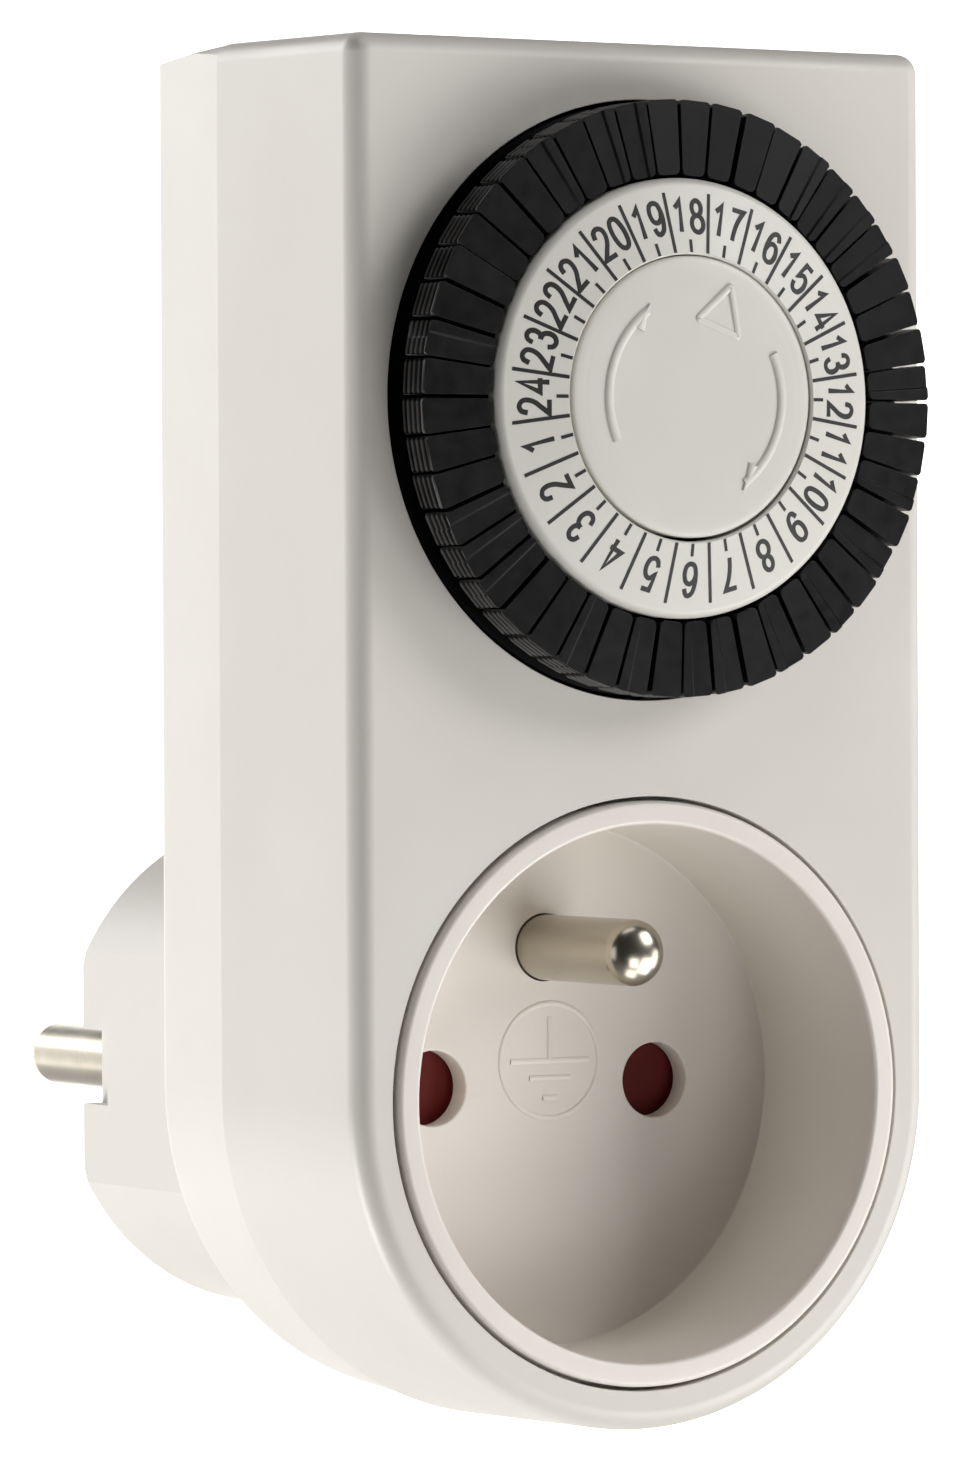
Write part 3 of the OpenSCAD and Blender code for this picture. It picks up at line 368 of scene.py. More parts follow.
@dataclass(frozen=True)
class Finish:
    """A surface with clouding, grain and worn gloss, all measured in millimetres.

    Attributes:
        name: What the real material is and how it was made.
        colour: Main colour.
        second: Colour that the clouding drifts to.
        roughness: Lowest and highest roughness.
        cloud: Size of the clouding.
        grain: Size of the grain along X, Y and Z.
        depth: Depth of the grain.
        metallic: One for a metal.
        ior: Index of refraction of what isn't a metal.
        share: Strength of the clouding.
        sheen: How strongly it mirrors, where a half is usual.
        wear: Size of the worn patches against the clouding.
    """

    name: str
    colour: str
    second: str
    roughness: Pair
    cloud: float
    grain: Triple = (0.3, 0.3, 0.3)
    depth: float = 0.002
    metallic: float = 0.0
    ior: float = 1.5
    share: float = 0.5
    sheen: float = 0.5
    wear: float = 0.35

    def material(self) -> bpy.types.Material:
        """Builds the material once and gives it back after that."""
        made = bpy.data.materials.get(self.name)
        if made:
            return made
        made = bpy.data.materials.new(self.name)
        made.use_nodes = True
        tree = made.node_tree
        tree.nodes.clear()
        place = add(tree, "TexCoord").outputs["Object"]
        colour, height = self.colours(tree, place), self.relief(tree, place)
        patches = {"Scale": 1 / (self.cloud * self.wear * MM), "Detail": 4.0, "Roughness": 0.6}
        wear_and_highlight = add(tree, "TexNoise", patches, {"Vector": place})
        low, high = self.roughness
        span = {"From Min": 0.3, "From Max": 0.7, "To Min": low, "To Max": high}
        gloss = add(tree, "MapRange", span, {"Value": wear_and_highlight.outputs["Fac"]})
        raised = {"Strength": 1.0, "Distance": self.depth * MM}
        bump = add(tree, "Bump", raised, {"Height": height})
        body = {"Metallic": self.metallic, "Specular IOR Level": self.sheen}
        feeds = {"Base Color": colour, "Roughness": gloss.outputs["Result"], "Normal": bump.outputs["Normal"]}
        shader = add(tree, "BsdfPrincipled", body, feeds)
        if not self.metallic:
            shader.inputs["IOR"].default_value = self.ior
        add(tree, "OutputMaterial", {}, {"Surface": shader.outputs["BSDF"]})
        return made

    def colours(self, tree: Tree, place: Output) -> Output:
        """Mixes the two colours by slow clouding."""
        clouds = {"Scale": 1 / (self.cloud * MM), "Detail": 5.0, "Roughness": 0.55}
        cloud = add(tree, "TexNoise", clouds, {"Vector": place})
        span = {"From Min": 0.35, "From Max": 0.65, "To Max": self.share}
        drift = add(tree, "MapRange", span, {"Value": cloud.outputs["Fac"]})
        pair = {"data_type": "RGBA", MIX_FIRST: linear(self.colour), MIX_SECOND: linear(self.second)}
        return add(tree, "Mix", pair, {MIX_SHARE: drift.outputs["Result"]}).outputs[MIX_RESULT]

    def relief(self, tree: Tree, place: Output) -> Output:
        """Draws the grain as a height."""
        sized = add(tree, "Mapping", {"Scale": [1 / (g * MM) for g in self.grain]}, {"Vector": place})
        grains = {"Scale": 1.0, "Detail": 3.0, "Roughness": 0.6}
        return add(tree, "TexNoise", grains, {"Vector": sized.outputs["Vector"]}).outputs["Fac"]


@dataclass(frozen=True)
class WoundFinish(Finish):
    """A winding of wire: the pitch of its turns, and the width of a band of the pattern at a scale of one."""

    pitch: float = 0.4
    band: float = 0.314

    def relief(self, tree: Tree, place: Output) -> Output:
        """Draws the turns as bands along Y."""
        bands = {"bands_direction": "Y", "Scale": self.band / (self.pitch * MM), "Distortion": 0.4}
        return add(tree, "TexWave", bands, {"Vector": place}).outputs["Fac"]


@dataclass(frozen=True)
class RubbedFinish(Finish):
    """A moulding whose outermost crests round the dial carry a painted highlight: a lighter colour where the crests
    catch the light.

    Attributes:
        rubbed: Colour of the painted highlight on the crests.
        reach: Distances from the dial's axis where the painted highlight starts and is full.
        shoulder: Depths from the case's face where the painted highlight starts and is full.
    """

    # Painted highlight: the lighter colour given to the outer crests.
    rubbed: str = "#565452"
    reach: Pair = (21.02, 21.12)
    shoulder: Pair = (-4.36, -4.3)

    def colours(self, tree: Tree, place: Output) -> Output:
        """Mixes the painted highlight's colour in by the distance from the dial's axis and by the depth."""
        onto = {"Location": (0, 0, -DIAL_Z * MM), "Scale": (1, 0, 1)}
        flat = add(tree, "Mapping", onto, {"Vector": place}).outputs["Vector"]
        span = add(tree, "VectorMath", {"operation": "LENGTH"}, {"Vector": flat}).outputs["Value"]
        depth = add(tree, "SeparateXYZ", {}, {"Vector": place}).outputs["Y"]
        ends = ((span, [r * MM for r in self.reach]), (depth, [at(0, y, 0).y for y in self.shoulder]))
        shares = {}
        for i, (value, (low, high)) in enumerate(ends):
            fade = add(tree, "MapRange", {"From Min": low, "From Max": high}, {"Value": value})
            shares[i] = fade.outputs["Result"]
        # Share of the painted highlight: full on the outermost crests behind the fronts.
        wear_and_highlight = add(tree, "Math", {"operation": "MULTIPLY"}, shares).outputs["Value"]
        pair = {"data_type": "RGBA", MIX_SECOND: linear(self.rubbed)}
        feeds = {MIX_SHARE: wear_and_highlight, MIX_FIRST: super().colours(tree, place)}
        return add(tree, "Mix", pair, feeds).outputs[MIX_RESULT]


# Injection moulded ABS of the case: off-white, satin from a finely spark eroded mould.
# The grain is really 0.05 mm and is drawn at 0.2 mm, so that it shows at all.
CASE_ABS = Finish(
    "abs_off_white_moulded", "#DAD6CF", "#D3CEC5", (0.36, 0.46), 24.0, (0.2, 0.2, 0.2), 0.0012, ior=1.53
)
# The well is a separate moulding of heat resistant polyamide, a little warmer and smoother.
WELL_PA = Finish(
    "polyamide_warm_white_moulded", "#E8E2DA", "#E0D9D0", (0.3, 0.4), 16.0, (0.24, 0.24, 0.24), 0.0012, ior=1.53
)
# Centre and hour ring: ABS, a little cooler than the case's, from a polished mould.
DIAL_ABS = Finish("abs_white_polished_mould", "#D7D5CD", "#CFCCC3", (0.34, 0.44), 12.0, depth=0.001, ior=1.53)
# Push segments: charcoal acetal, waxy, with fine rub marks along each one, and a painted highlight on the outer
# crests.
SEGMENT_POM = RubbedFinish(
    "acetal_charcoal_moulded", "#090808", "#100F0F", (0.32, 0.44), 3.0, (0.25, 0.6, 0.25), 0.001, ior=1.48, sheen=0.22
)
# Carrying wheel: black acetal, its colour set darker still as painted shade, for the deep shade under the segments.
WHEEL_POM = Finish("acetal_black_moulded", "#060606", "#0A0A0A", (0.45, 0.6), 6.0, ior=1.48, sheen=0.15)
# Shutter and lever: brick red polyamide, satin.
RED_PA = Finish(
    "polyamide_brick_red_moulded", "#681B18", "#591613", (0.4, 0.55), 8.0, (0.2, 0.2, 0.2), 0.003, ior=1.53, sheen=0.2
)
# Works: natural acetal, slightly glossy where it was ejected.
WORKS_POM = Finish("acetal_natural_moulded", "#E4E0D2", "#D8D3C2", (0.3, 0.45), 10.0, depth=0.003, ior=1.48)
# Pins: nickel plated brass, drawn along Y, so the marks run along the pin.
NICKEL = Finish(
    "brass_nickel_plated_drawn", "#BAB3A5", "#ADA594", (0.2, 0.28), 8.0, (0.12, 2.4, 0.12), 0.0006, 1.0, share=0.3
)
# Contact strips: half hard brass, stamped, with rolling marks.
BRASS = Finish("brass_strip_stamped", "#C9A24B", "#B98F3C", (0.24, 0.4), 5.0, (0.15, 0.15, 1.6), metallic=1.0)
# Screws, axles, can and spring: zinc plated steel with a soft grey bloom.
STEEL = Finish("steel_zinc_plated", "#B4B6B8", "#9DA0A3", (0.26, 0.42), 3.0, depth=0.003, metallic=1.0)
# Rotor: sintered ferrite, dark and dull.
FERRITE = Finish("ferrite_sintered", "#3D3D40", "#2E2E31", (0.55, 0.7), 3.0, (0.2, 0.2, 0.2), 0.01, ior=1.9)
# Coil: enamelled copper wire of 0.2 mm, drawn at 0.4 mm so that the turns show.
COIL = WoundFinish("copper_enamelled_wound", "#B5653A", "#9C5029", (0.25, 0.35), 4.0, depth=0.05, metallic=1.0)
# Leads: PVC insulation, extruded, so it is smooth along its length.
PVC = Finish("pvc_grey_extruded", "#3C3C3E", "#47474A", (0.35, 0.45), 6.0, (0.4, 0.4, 0.4), ior=1.53)
# Hour print: pad printed black ink, thin and slightly matt.
INK = Finish("ink_black_pad_printed", "#141312", "#1D1B19", (0.45, 0.6), 1.5, (0.1, 0.1, 0.1))


def finish(piece: Piece, surface: Finish, body: str, slot: str, *nodes: str) -> None:
    """Dresses a new piece, puts it on its body and hides the nodes that it stands for."""
    piece.data.materials.clear()
    piece.data.materials.append(surface.material())
    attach(piece, body)
    if nodes:
        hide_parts(*nodes)
    LOG.info("piece %s on %s: %d faces, %s", piece.name, body, len(piece.data.polygons), surface.name)


def dress(surface: Finish, *nodes: str) -> None:
    """Gives nodes of the frame a finish, in every slot that they have."""
    for name in nodes:
        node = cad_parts[name]
        if not node.material_slots:
            node.data.materials.append(surface.material())
        for slot in node.material_slots:
            slot.material = surface.material()
        LOG.info("node %s: %s", name, surface.name)


# Sub-assemblies, with sizes in millimetres and depths measured back from the case's face


@dataclass
class Case:
    """Front and rear shells."""

    half: float = 24.5
    top: float = 75.4
    seam: float = 18.7
    wall: float = 2.0
    draft: float = 0.4
    edge: float = 1.5
    dial_hole: float = 21.4
    socket_hole: float = 21.25
    lead_in: float = 0.08
    post_root: float = 0.5
    # Radius, place to each side, heights and end of the screws' posts and of the works' posts.
    posts: tuple[tuple[float, float, Pair, float], ...] = (
        (3.0, 19.7, (24.6, 70.6), 18.7),
        (2.4, 20.3, (35.0, 64.0), 11.05),
    )

    def build(self) -> None:
        """Builds the front shell and dresses the rear one."""
        finish(self.front_shell(), CASE_ABS, Body.CASE.value, "case", "front_cover")
        dress(CASE_ABS, "rear_cover")
        dress(STEEL, "case_screws")

    def slab(self, name: str, inset: float, base: float, end: float, draft: float = 0, edge: float = 0) -> Piece:
        """Makes a solid of the case's outline, half round below and square above.

        Args:
            name: Name of the slab.
            inset: How far it stays inside the case's outline.
            base: Depth of its full outline.
            end: Depth of its other side, which the draft narrows.
            draft: How much each side narrows.
            edge: Rounding of the end's edges and the top corners, or nought.

        Returns:
            The closed slab.
        """
        radius, place = (self.half - inset) * MM, at(0, base, 0)
        bpy.ops.mesh.primitive_circle_add(vertices=FINE, radius=radius, location=place, rotation=(math.pi / 2, 0, 0))
        obj = fresh(name)
        y0, y1 = place.y, at(0, end, 0).y
        top = self.top - inset
        high = (top - draft) * MM - NEAR
        with editing(obj):
            pick(obj, Pick.VERTS, lambda v: v.co.z > NEAR)
            bpy.ops.mesh.delete(type="VERT")
            pick(obj, Pick.VERTS, lambda v: abs(v.co.z) < NEAR)
            bpy.ops.mesh.extrude_vertices_move(TRANSFORM_OT_translate={"value": (0, 0, top * MM)})
            bpy.ops.mesh.edge_face_add()
            bpy.ops.mesh.select_all(action="SELECT")
            bpy.ops.mesh.edge_face_add()
            if draft:
                bpy.ops.mesh.inset(thickness=draft * MM, depth=0)
                bpy.ops.transform.translate(value=(0, y1 - y0, 0))
                pick(obj, Pick.EDGES, lambda e: all(abs(v.co.y - y0) < NEAR for v in e.verts))
                bpy.ops.mesh.edge_face_add()
            else:
                bpy.ops.mesh.extrude_region_move(TRANSFORM_OT_translate={"value": (0, y1 - y0, 0)})
            settle()
            if edge:
                pick(
                    obj,
                    Pick.EDGES,
                    lambda e: all(abs(v.co.y - y1) < NEAR for v in e.verts)
                    or (all(v.co.z > high for v in e.verts) and runs_back(e)),
                )
                bpy.ops.mesh.bevel(offset=edge * MM, segments=8, affect="EDGES")
                settle()
        return obj

    def front_shell(self) -> Piece:
        """Makes the front shell, with its posts, the dial's hole and the socket's hole."""
        shell = self.slab("front_shell", 0, self.seam, 0, self.draft, self.edge)
        combine(shell, self.slab("hollow", self.wall, self.seam + CLEAR, self.wall))
        posts = [
            rod(side * x, z, r, self.wall - self.post_root, end)
            for r, x, heights, end in self.posts
            for side in (-1, 1)
            for z in heights
        ]
        combine(shell, join("posts", posts), "UNION")
        c, back = self.lead_in, self.wall + CLEAR
        for r, z in ((self.dial_hole, DIAL_Z), (self.socket_hole, 0.0)):
            lip = arc(r + c, c, c, 270, 180, 4)[1:]
            outline = [(0, -CLEAR), (r + c + CLEAR, -CLEAR), (r + c, 0), *lip, (r, back), (0, back)]
            combine(shell, turned("hole", outline, z=z))
        return smooth(shell)


@dataclass
class Socket:
    """The round well with its rim, the earth pin and the shutter."""

    well: float = 19.25
    depth: float = 14.2
    floor: float = 1.8
    wall: float = 1.7
    end: float = 18.4
    # Radius, front and back of the flange.
    flange: Triple = (22.3, 2.0, 3.0)
    rise: float = 0.4
    rim_in: float = 0.3
    rim_out: float = 0.4
    fillet: float = 0.15
    hole: float = 2.75
    hole_x: float = 9.5
    hole_round: float = 0.15
    pin_r: float = 2.4
    pin_z: float = 10.0
    pin_tip: float = 0.6
    pin_dome: float = 1.5
    pin_play: float = 0.1
    pin_foot: Outline = ((3.2, 16.05), (3.2, 18.35), (1.5, 18.35), (1.5, 21.3), (2.3, 21.3), (2.3, 22.0))
    mark: Pair = (0.4, 1.7)
    mark_r: float = 4.2
    mark_top: float = 3.2
    # Half the length of each bar and its drop below the mark's middle.
    mark_bars: Outline = ((3.35, 0.0), (1.75, 1.25), (0.6, 2.7))
    mark_line: Pair = (0.44, 0.44)
    mark_foot: float = 0.02
    mark_rise: float = 0.08
    coil_r: float = 0.85
    wire_r: float = 0.2
    turns: int = 7
    shutter_travel: float = 6.6

    def build(self) -> None:
        """Builds the well, the earth pin and the spring, and dresses what lies behind the floor."""
        finish(self.well_piece(), WELL_PA, Body.CASE.value, "insert", "socket_insert")
        finish(self.earth_pin(), NICKEL, Body.CASE.value, "nickel", "earth_pin")
        dress(RED_PA, "shutter")
        self.closing_spring()
        dress(WORKS_POM, "contact_carrier")
        dress(BRASS, "earth_strip", "line_contact", "neutral_contact", "line_strip")

    def well_piece(self) -> Piece:
        """Turns the well, drills its floor and raises the earth sign on it."""
        r, top, fillet = self.well, -self.rise, self.fillet
        outer = r + self.wall
        d, f = self.depth, self.depth + self.floor
        wide, front, back = self.flange
        outline = [
            (0, d),
            *arc(r - fillet, d - fillet, fillet, 90, 0, 5),
            *arc(r + self.rim_in, top + self.rim_in, self.rim_in, -180, -90, 6),
            *arc(outer - self.rim_out, top + self.rim_out, self.rim_out, -90, 0, 5),
            (outer, front),
            (wide, front),
            (wide, back),
            (outer, back),
            (outer, self.end),
            (r, self.end),
            (r, f),
            (0, f),
        ]
        well = turned("socket_well", outline)
        h, c = self.hole, self.hole_round
        lip = arc(h + c, d + c, c, 270, 180, 3)[1:]
        drill = [(0, d - CLEAR), (h + c + CLEAR, d - CLEAR), (h + c, d), *lip, (h, f + CLEAR), (0, f + CLEAR)]
        for x in (-self.hole_x, self.hole_x):
            combine(well, turned("drill", drill, x, steps=64))
        combine(well, rod(0, self.pin_z, self.pin_r + self.pin_play, d - CLEAR, f + CLEAR))
        return join("socket_well", [smooth(well), self.earth_sign()])

    def closing_spring(self) -> None:
        """Winds the shutter's closing spring to fill the box of its node."""
        low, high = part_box("shutter_spring")
        wire = self.wire_r * MM
        place = (self.coil_r * MM, 0, wire)
        bpy.ops.mesh.primitive_circle_add(vertices=10, radius=wire, location=place, rotation=(math.pi / 2, 0, 0))
        spring = fresh("closing_spring")
        coils = spring.modifiers.new("coils", "SCREW")
        coils.steps = coils.render_steps = 24
        coils.iterations = self.turns
        coils.screw_offset = (high.z - low.z - 2 * wire) / self.turns
        bpy.ops.object.modifier_apply(modifier="coils")
        middle = (low + high) / 2
        with editing(spring):
            bpy.ops.mesh.fill_holes(sides=0)
            bpy.ops.mesh.select_all(action="SELECT")
            bpy.ops.mesh.normals_make_consistent(inside=False)
            bpy.ops.transform.translate(value=(middle.x, middle.y, low.z))
        smooth(spring)
        finish(spring, STEEL, Body.CASE.value, "steel", "shutter_spring")
        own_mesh(spring)

    def earth_sign(self) -> Piece:
        """Makes the raised earth sign: a ring, an upright and three bars."""
        x, z = self.mark
        ring = [(x + r, z + q) for r, q in arc(0, 0, self.mark_r, 0, 355, 71)]
        lines = [(ring, True), ([(x, z + self.mark_top), (x, z)], False)]
        lines += [([(x - half, z - low), (x + half, z - low)], False) for half, low in self.mark_bars]
        foot, crest = self.depth + self.mark_foot, self.depth - self.mark_rise
        bars = [ribbon(path, self.mark_line, foot, crest, closed) for path, closed in lines]
        return join("earth_sign", [smooth(bar, 60) for bar in bars])

    def earth_pin(self) -> Piece:
        """Turns the earth pin with its domed tip, its collar and its riveted foot."""
        tip, r, dome = self.pin_tip, self.pin_r, self.pin_dome
        outline = [
            (0, tip),
            *[(r * math.sin(a), tip + dome * (1 - math.cos(a))) for a in map(math.radians, range(8, 91, 8))],
            (r, tip + dome + 0.1),
            (r, self.pin_foot[0][1]),
            *self.pin_foot,
            (0, self.pin_foot[-1][1]),
        ]
        return smooth(turned("earth_pin_domed", outline, z=self.pin_z, steps=72), 40)


@dataclass
class Plug:
    """Pins and side contacts of the plug behind the case."""

    def build(self) -> None:
        """Dresses the pins and the clips."""
        dress(NICKEL, "plug_pin_left", "plug_pin_right")
        dress(BRASS, "earth_clips")


@dataclass(frozen=True)
class Stroke:
    """One stroke of a number in a box of a hundred by a hundred: a smooth part and then straight lines."""

    smooth: Outline = ()
    straight: Outline = ()
    closed: bool = False

    def path(self) -> list[Pair]:
        """Gives the points along the stroke, in a box of one by one."""
        bent, straight = ([(x / 100, z / 100) for x, z in part] for part in (self.smooth, self.straight))
        return [*(eased(bent, self.closed) if bent else ()), *straight]


def oval(middle: float, half: float, rise: float) -> Stroke:
    """Makes a closed oval stroke round a height in the middle of a number's box."""
    return Stroke(tuple((50 + half * x, middle + rise * z) for x, z in arc(0, 0, 1, 90, 420, 11)), closed=True)


ZERO = ((50, 100), (86, 88), (100, 50), (86, 12), (50, 0), (14, 12), (0, 50), (14, 88))
TWO = ((3, 72), (14, 92), (50, 100), (87, 91), (96, 72), (80, 48), (40, 24), (0, 0))
THREE_TOP = ((3, 76), (17, 94), (50, 100), (81, 92), (91, 75), (77, 58), (42, 53))
THREE_FOOT = ((42, 53), (84, 47), (100, 27), (85, 7), (48, 0), (14, 7), (0, 25))
FIVE = ((0, 25), (14, 7), (47, 0), (84, 8), (100, 32), (86, 56), (47, 64), (7, 49))
SIX_TOP = ((95, 78), (80, 96), (53, 100), (20, 88), (3, 60), (2, 32), (16, 8))
SIX = (*SIX_TOP, (52, 0), (87, 8), (100, 31), (87, 55), (52, 63), (18, 54), (3, 36))
FIGURES: dict[str, tuple[Stroke, ...]] = {
    "0": (Stroke(ZERO, closed=True),),
    "1": (Stroke(straight=((12, 75), (36, 86), (58, 100), (58, 0))),),
    "2": (Stroke(TWO, ((100, 0),)),),
    "3": (Stroke(THREE_TOP), Stroke(THREE_FOOT)),
    "4": (Stroke(straight=((75, 0), (75, 100), (0, 30), (104, 30))),),
    "5": (Stroke(FIVE, ((20, 100), (90, 100))),),
    "6": (Stroke(SIX),),
    "7": (Stroke(((30, 0), (38, 30), (60, 65), (100, 100)), ((0, 100),)),),
    "8": (oval(76.5, 40, 23.5), oval(26.5, 50, 26.5)),
    "9": (Stroke(tuple((100 - x, 100 - z) for x, z in SIX)),),
}


@dataclass
class Dial:
    """Day dial: black wheel, push segments, hour ring with its print, and the fixed centre."""

    pitch: float = 7.5
    seg_in: float = 15.85
    seg_out: float = 21.2
    front: float = -5.0
    back: float = -1.5
    gap: float = 0.24
    corner_in: float = 0.38
    corner_out: float = 0.3
    seg_edge: float = 0.06
    fall: float = 0.3
    head_play: float = 0.32
    crease: float = 0.13
    crease_x: Pair = (0.28, 0.42)
    ridges: int = 4
    ridge_depth: float = 0.42
    ridge_start: float = 0.2
    ridge_ends: float = 0.32
    # Shares of a ridge's pitch where its groove starts, is full, leaves full depth and ends.
    ridge_cut: tuple[float, ...] = (0.26, 0.36, 0.9, 1.0)
    ridge_split: float = 0.07
    ridge_shift: float = 0.17
    stepped_share: float = 0.45
    play_middle: float = 18.5
    play_lean: float = 1.2
    play_nod: float = 1.0
    play_slip: tuple[Pair, ...] = ((-0.06, 0.06), (0.0, 0.2), (-0.04, 0.0))
    tongue_half: float = 0.65
    tongue_reach: Pair = (16.9, 19.1)
    tongue_root: float = 1.2
    tongue_end: float = 1.95
    tongue_edge: float = 0.1
    ring_in: float = 10.15
    ring_out: float = 15.6
    ring_front: float = -6.1
    ring_slope: float = 0.85 / 4.95
    ring_edge: Pair = (0.12, 0.15)
    ring_round: float = 0.7
    ring_back: float = -3.95
    hub_r: float = 9.98
    hub_play: Pair = (0.1, 0.09)
    hub_front: float = -6.15
    hub_sag: float = 0.14
    hub_round: float = 1.4
    # Width of the centre's shoulder, its drop from the crown, and its fall.
    hub_shoulder: Triple = (1.3, 0.03, 0.16)
    hub_lip: Outline = ((-0.05, 0.2), (0.0, 0.28))
    hub_back: float = -4.45
    stem_r: float = 4.0
    stem_back: float = -1.4
    sign_r: float = 6.35
    sign_play: Pair = (0.33, 0.02)
    sign_foot: float = 0.08
    mark_reach: float = 1.92
    mark_bend: float = 0.1
    mark_line: Pair = (0.6, 0.6)
    mark_rise: float = 0.1
    mark_turn: float = 20.5
    # Degrees clockwise from the top where each arrow starts and ends.
    arrows: Outline = ((-115, -30.5), (64, 149))
    arrow_r: float = 7.25
    arrow_stop: float = 3.0
    arrow_line: Pair = (0.85, 0.75)
    arrow_rise: float = 0.15
    # Radii along an arrow's barb, and the degrees that each one lies behind its point.
    barb: Outline = ((7.6, 0.0), (7.2, 7.0), (6.75, 14.5))
    barb_line: Pair = (0.12, 1.15)
    hours: int = 24
    top_hour: int = 18
    ink: float = 0.02
    # Inner radius, outer radius and width of the printed lines.
    long_line: Triple = (10.3, 14.6, 0.26)
    short_line: Triple = (10.3, 11.2, 0.24)
    figure: Pair = (0.95, 2.25)
    figure_line: Pair = (0.42, 0.42)
    figure_gap: float = 0.5
    figure_r: float = 12.85
    chance: random.Random = field(default_factory=lambda: random.Random(24))

    def build(self) -> None:
        """Builds the ring, its print, the centre and the segments."""
        dress(WHEEL_POM, "dial_wheel")
        finish(self.hour_ring(), DIAL_ABS, Body.DIAL.value, "ring", "number_ring")
        finish(self.hour_print(), INK, Body.DIAL.value, "wheel")
        finish(self.centre(), DIAL_ABS, Body.CASE.value, "ring", "hub_cap")
        self.segments()

    def clockwise(self, degrees: float) -> Matrix:
        """Gives the turn about the dial's axis, clockwise as seen from the front."""
        axis = at(0, 0, DIAL_Z)
        return Matrix.Translation(axis) @ Matrix.Rotation(math.radians(degrees), 4, "Y") @ Matrix.Translation(-axis)

    def surface(self, r: float) -> float:
        """Gives the depth of the ring's sloped face at a radius."""
        return self.ring_front + (r - self.ring_in) * self.ring_slope

    def hour_ring(self) -> Piece:
        """Turns the sloped white ring with its rounded rim."""
        a, b, c = self.ring_in, self.ring_out, self.ring_round
        across, down = self.ring_edge
        outline = [
            (a, self.ring_back),
            (a, self.surface(a) + down),
            (a + across, self.surface(a + across)),
            (b - c, self.surface(b - c)),
            *arc(b - c, self.surface(b - c) + c, c, -80, 0, 9),
            (b, self.ring_back),
            (a, self.ring_back),
        ]
        return smooth(turned("hour_ring", outline, z=DIAL_Z, steps=192))

    def hour_print(self) -> Piece:
        """Makes the long and short lines and the numbers as a thin print."""
        figures = {sign: self.shape(sign) for sign in FIGURES}
        marks: list[Piece] = []
        for hour in range(1, self.hours + 1):
            angle = (self.top_hour - hour) * 360 / self.hours
            marks += [self.tick(*self.long_line, angle + self.pitch), self.tick(*self.short_line, angle)]
            marks += self.number(str(hour), figures, angle)
        for figure in figures.values():
            bpy.data.objects.remove(figure)
        return join("hour_print", marks)

    def tick(self, r0: float, r1: float, width: float, degrees: float) -> Piece:
        """Makes one printed line between two radii."""
        line = block((-width / 2, -self.ink, DIAL_Z + r0), (width / 2, self.ink, DIAL_Z + r1))
        line.data.transform(self.clockwise(degrees) @ self.slope())
        return line

    def slope(self) -> Matrix:
        """Gives the lean that lays a mark, drawn upright at the top of the dial, on the ring's face."""
        shear = Matrix.Identity(4)
        shear[1][2] = self.ring_slope
        foot = at(0, 0, DIAL_Z + self.ring_in)
        face = Matrix.Translation((0, self.surface(self.ring_in) * MM, 0))
        return face @ Matrix.Translation(foot) @ shear @ Matrix.Translation(-foot)

    def shape(self, sign: str) -> Piece:
        """Draws one figure of the print, its middle at the top of the dial."""
        wide, tall = self.figure
        foot = DIAL_Z + self.figure_r - tall / 2
        lines = []
        for stroke in FIGURES[sign]:
            path = [((x - 0.5) * wide, foot + z * tall) for x, z in stroke.path()]
            lines.append(ribbon(path, self.figure_line, self.ink, -self.ink, stroke.closed))
        return join(f"figure_{sign}", lines)

    def number(self, text: str, figures: dict[str, Piece], degrees: float) -> list[Piece]:
        """Sets the figures of one number side by side, their heads outwards."""
        advance = self.figure[0] + self.figure_gap
        start = -advance * (len(text) - 1) / 2
        shifts = [Matrix.Translation(((start + i * advance) * MM, 0, 0)) for i in range(len(text))]
        lay = self.clockwise(degrees) @ self.slope()
        return [copied(figures[sign], "number", lay @ shift) for sign, shift in zip(text, shifts)]

    def crown(self, r: float) -> float:
        """Gives the depth of the fixed centre's slightly crowned face at a radius."""
        return self.hub_front + self.hub_sag * (r / (self.hub_r - self.hub_round)) ** 2

    def centre(self) -> Piece:
        """Turns the fixed centre and raises its time mark and arrows."""
        r, flat = self.hub_r, self.hub_r - self.hub_round
        f = self.crown(flat)
        wide, drop, fall = self.hub_shoulder
        bends = [math.radians(a) for a in range(10, 71, 10)]
        outline = [
            *[(q, self.crown(q)) for q in (0, 1.5, 3, 4.5, 6, 7.2, flat)],
            *[(flat + wide * math.sin(a), f + drop + fall * (1 - math.cos(a))) for a in bends],
            *[(r + across, f + down) for across, down in self.hub_lip],
            (r, self.hub_back),
            (self.stem_r, self.hub_back),
            (self.stem_r, self.stem_back),
            (0, self.stem_back),
        ]
        x, z = self.hub_play
        hub = smooth(turned("dial_centre", outline, x, DIAL_Z + z))
        signs = [self.time_mark(), *(bit for ends in self.arrows for bit in self.arrow(*ends))]
        for sign in signs:
            sign.data.transform(Matrix.Translation((self.sign_play[0] * MM, 0, self.sign_play[1] * MM)))
            smooth(sign, 70)
        return join("dial_centre", [hub, *signs])

    def time_mark(self) -> Piece:
        """Raises the outline of a triangle that points outwards."""
        path: list[Pair] = []
        reach, middle = self.mark_reach, DIAL_Z + self.sign_r
        for corner in (90, 210, 330):
            c = math.radians(corner)
            x, z = reach * math.cos(c), middle + reach * math.sin(c)
            path += arc(x, z, self.mark_bend, corner - 60, corner + 60, 4)
        f = self.crown(self.sign_r)
        mark = ribbon(path, self.mark_line, f + self.sign_foot, f - self.mark_rise, True)
        mark.data.transform(self.clockwise(self.mark_turn))
        return mark

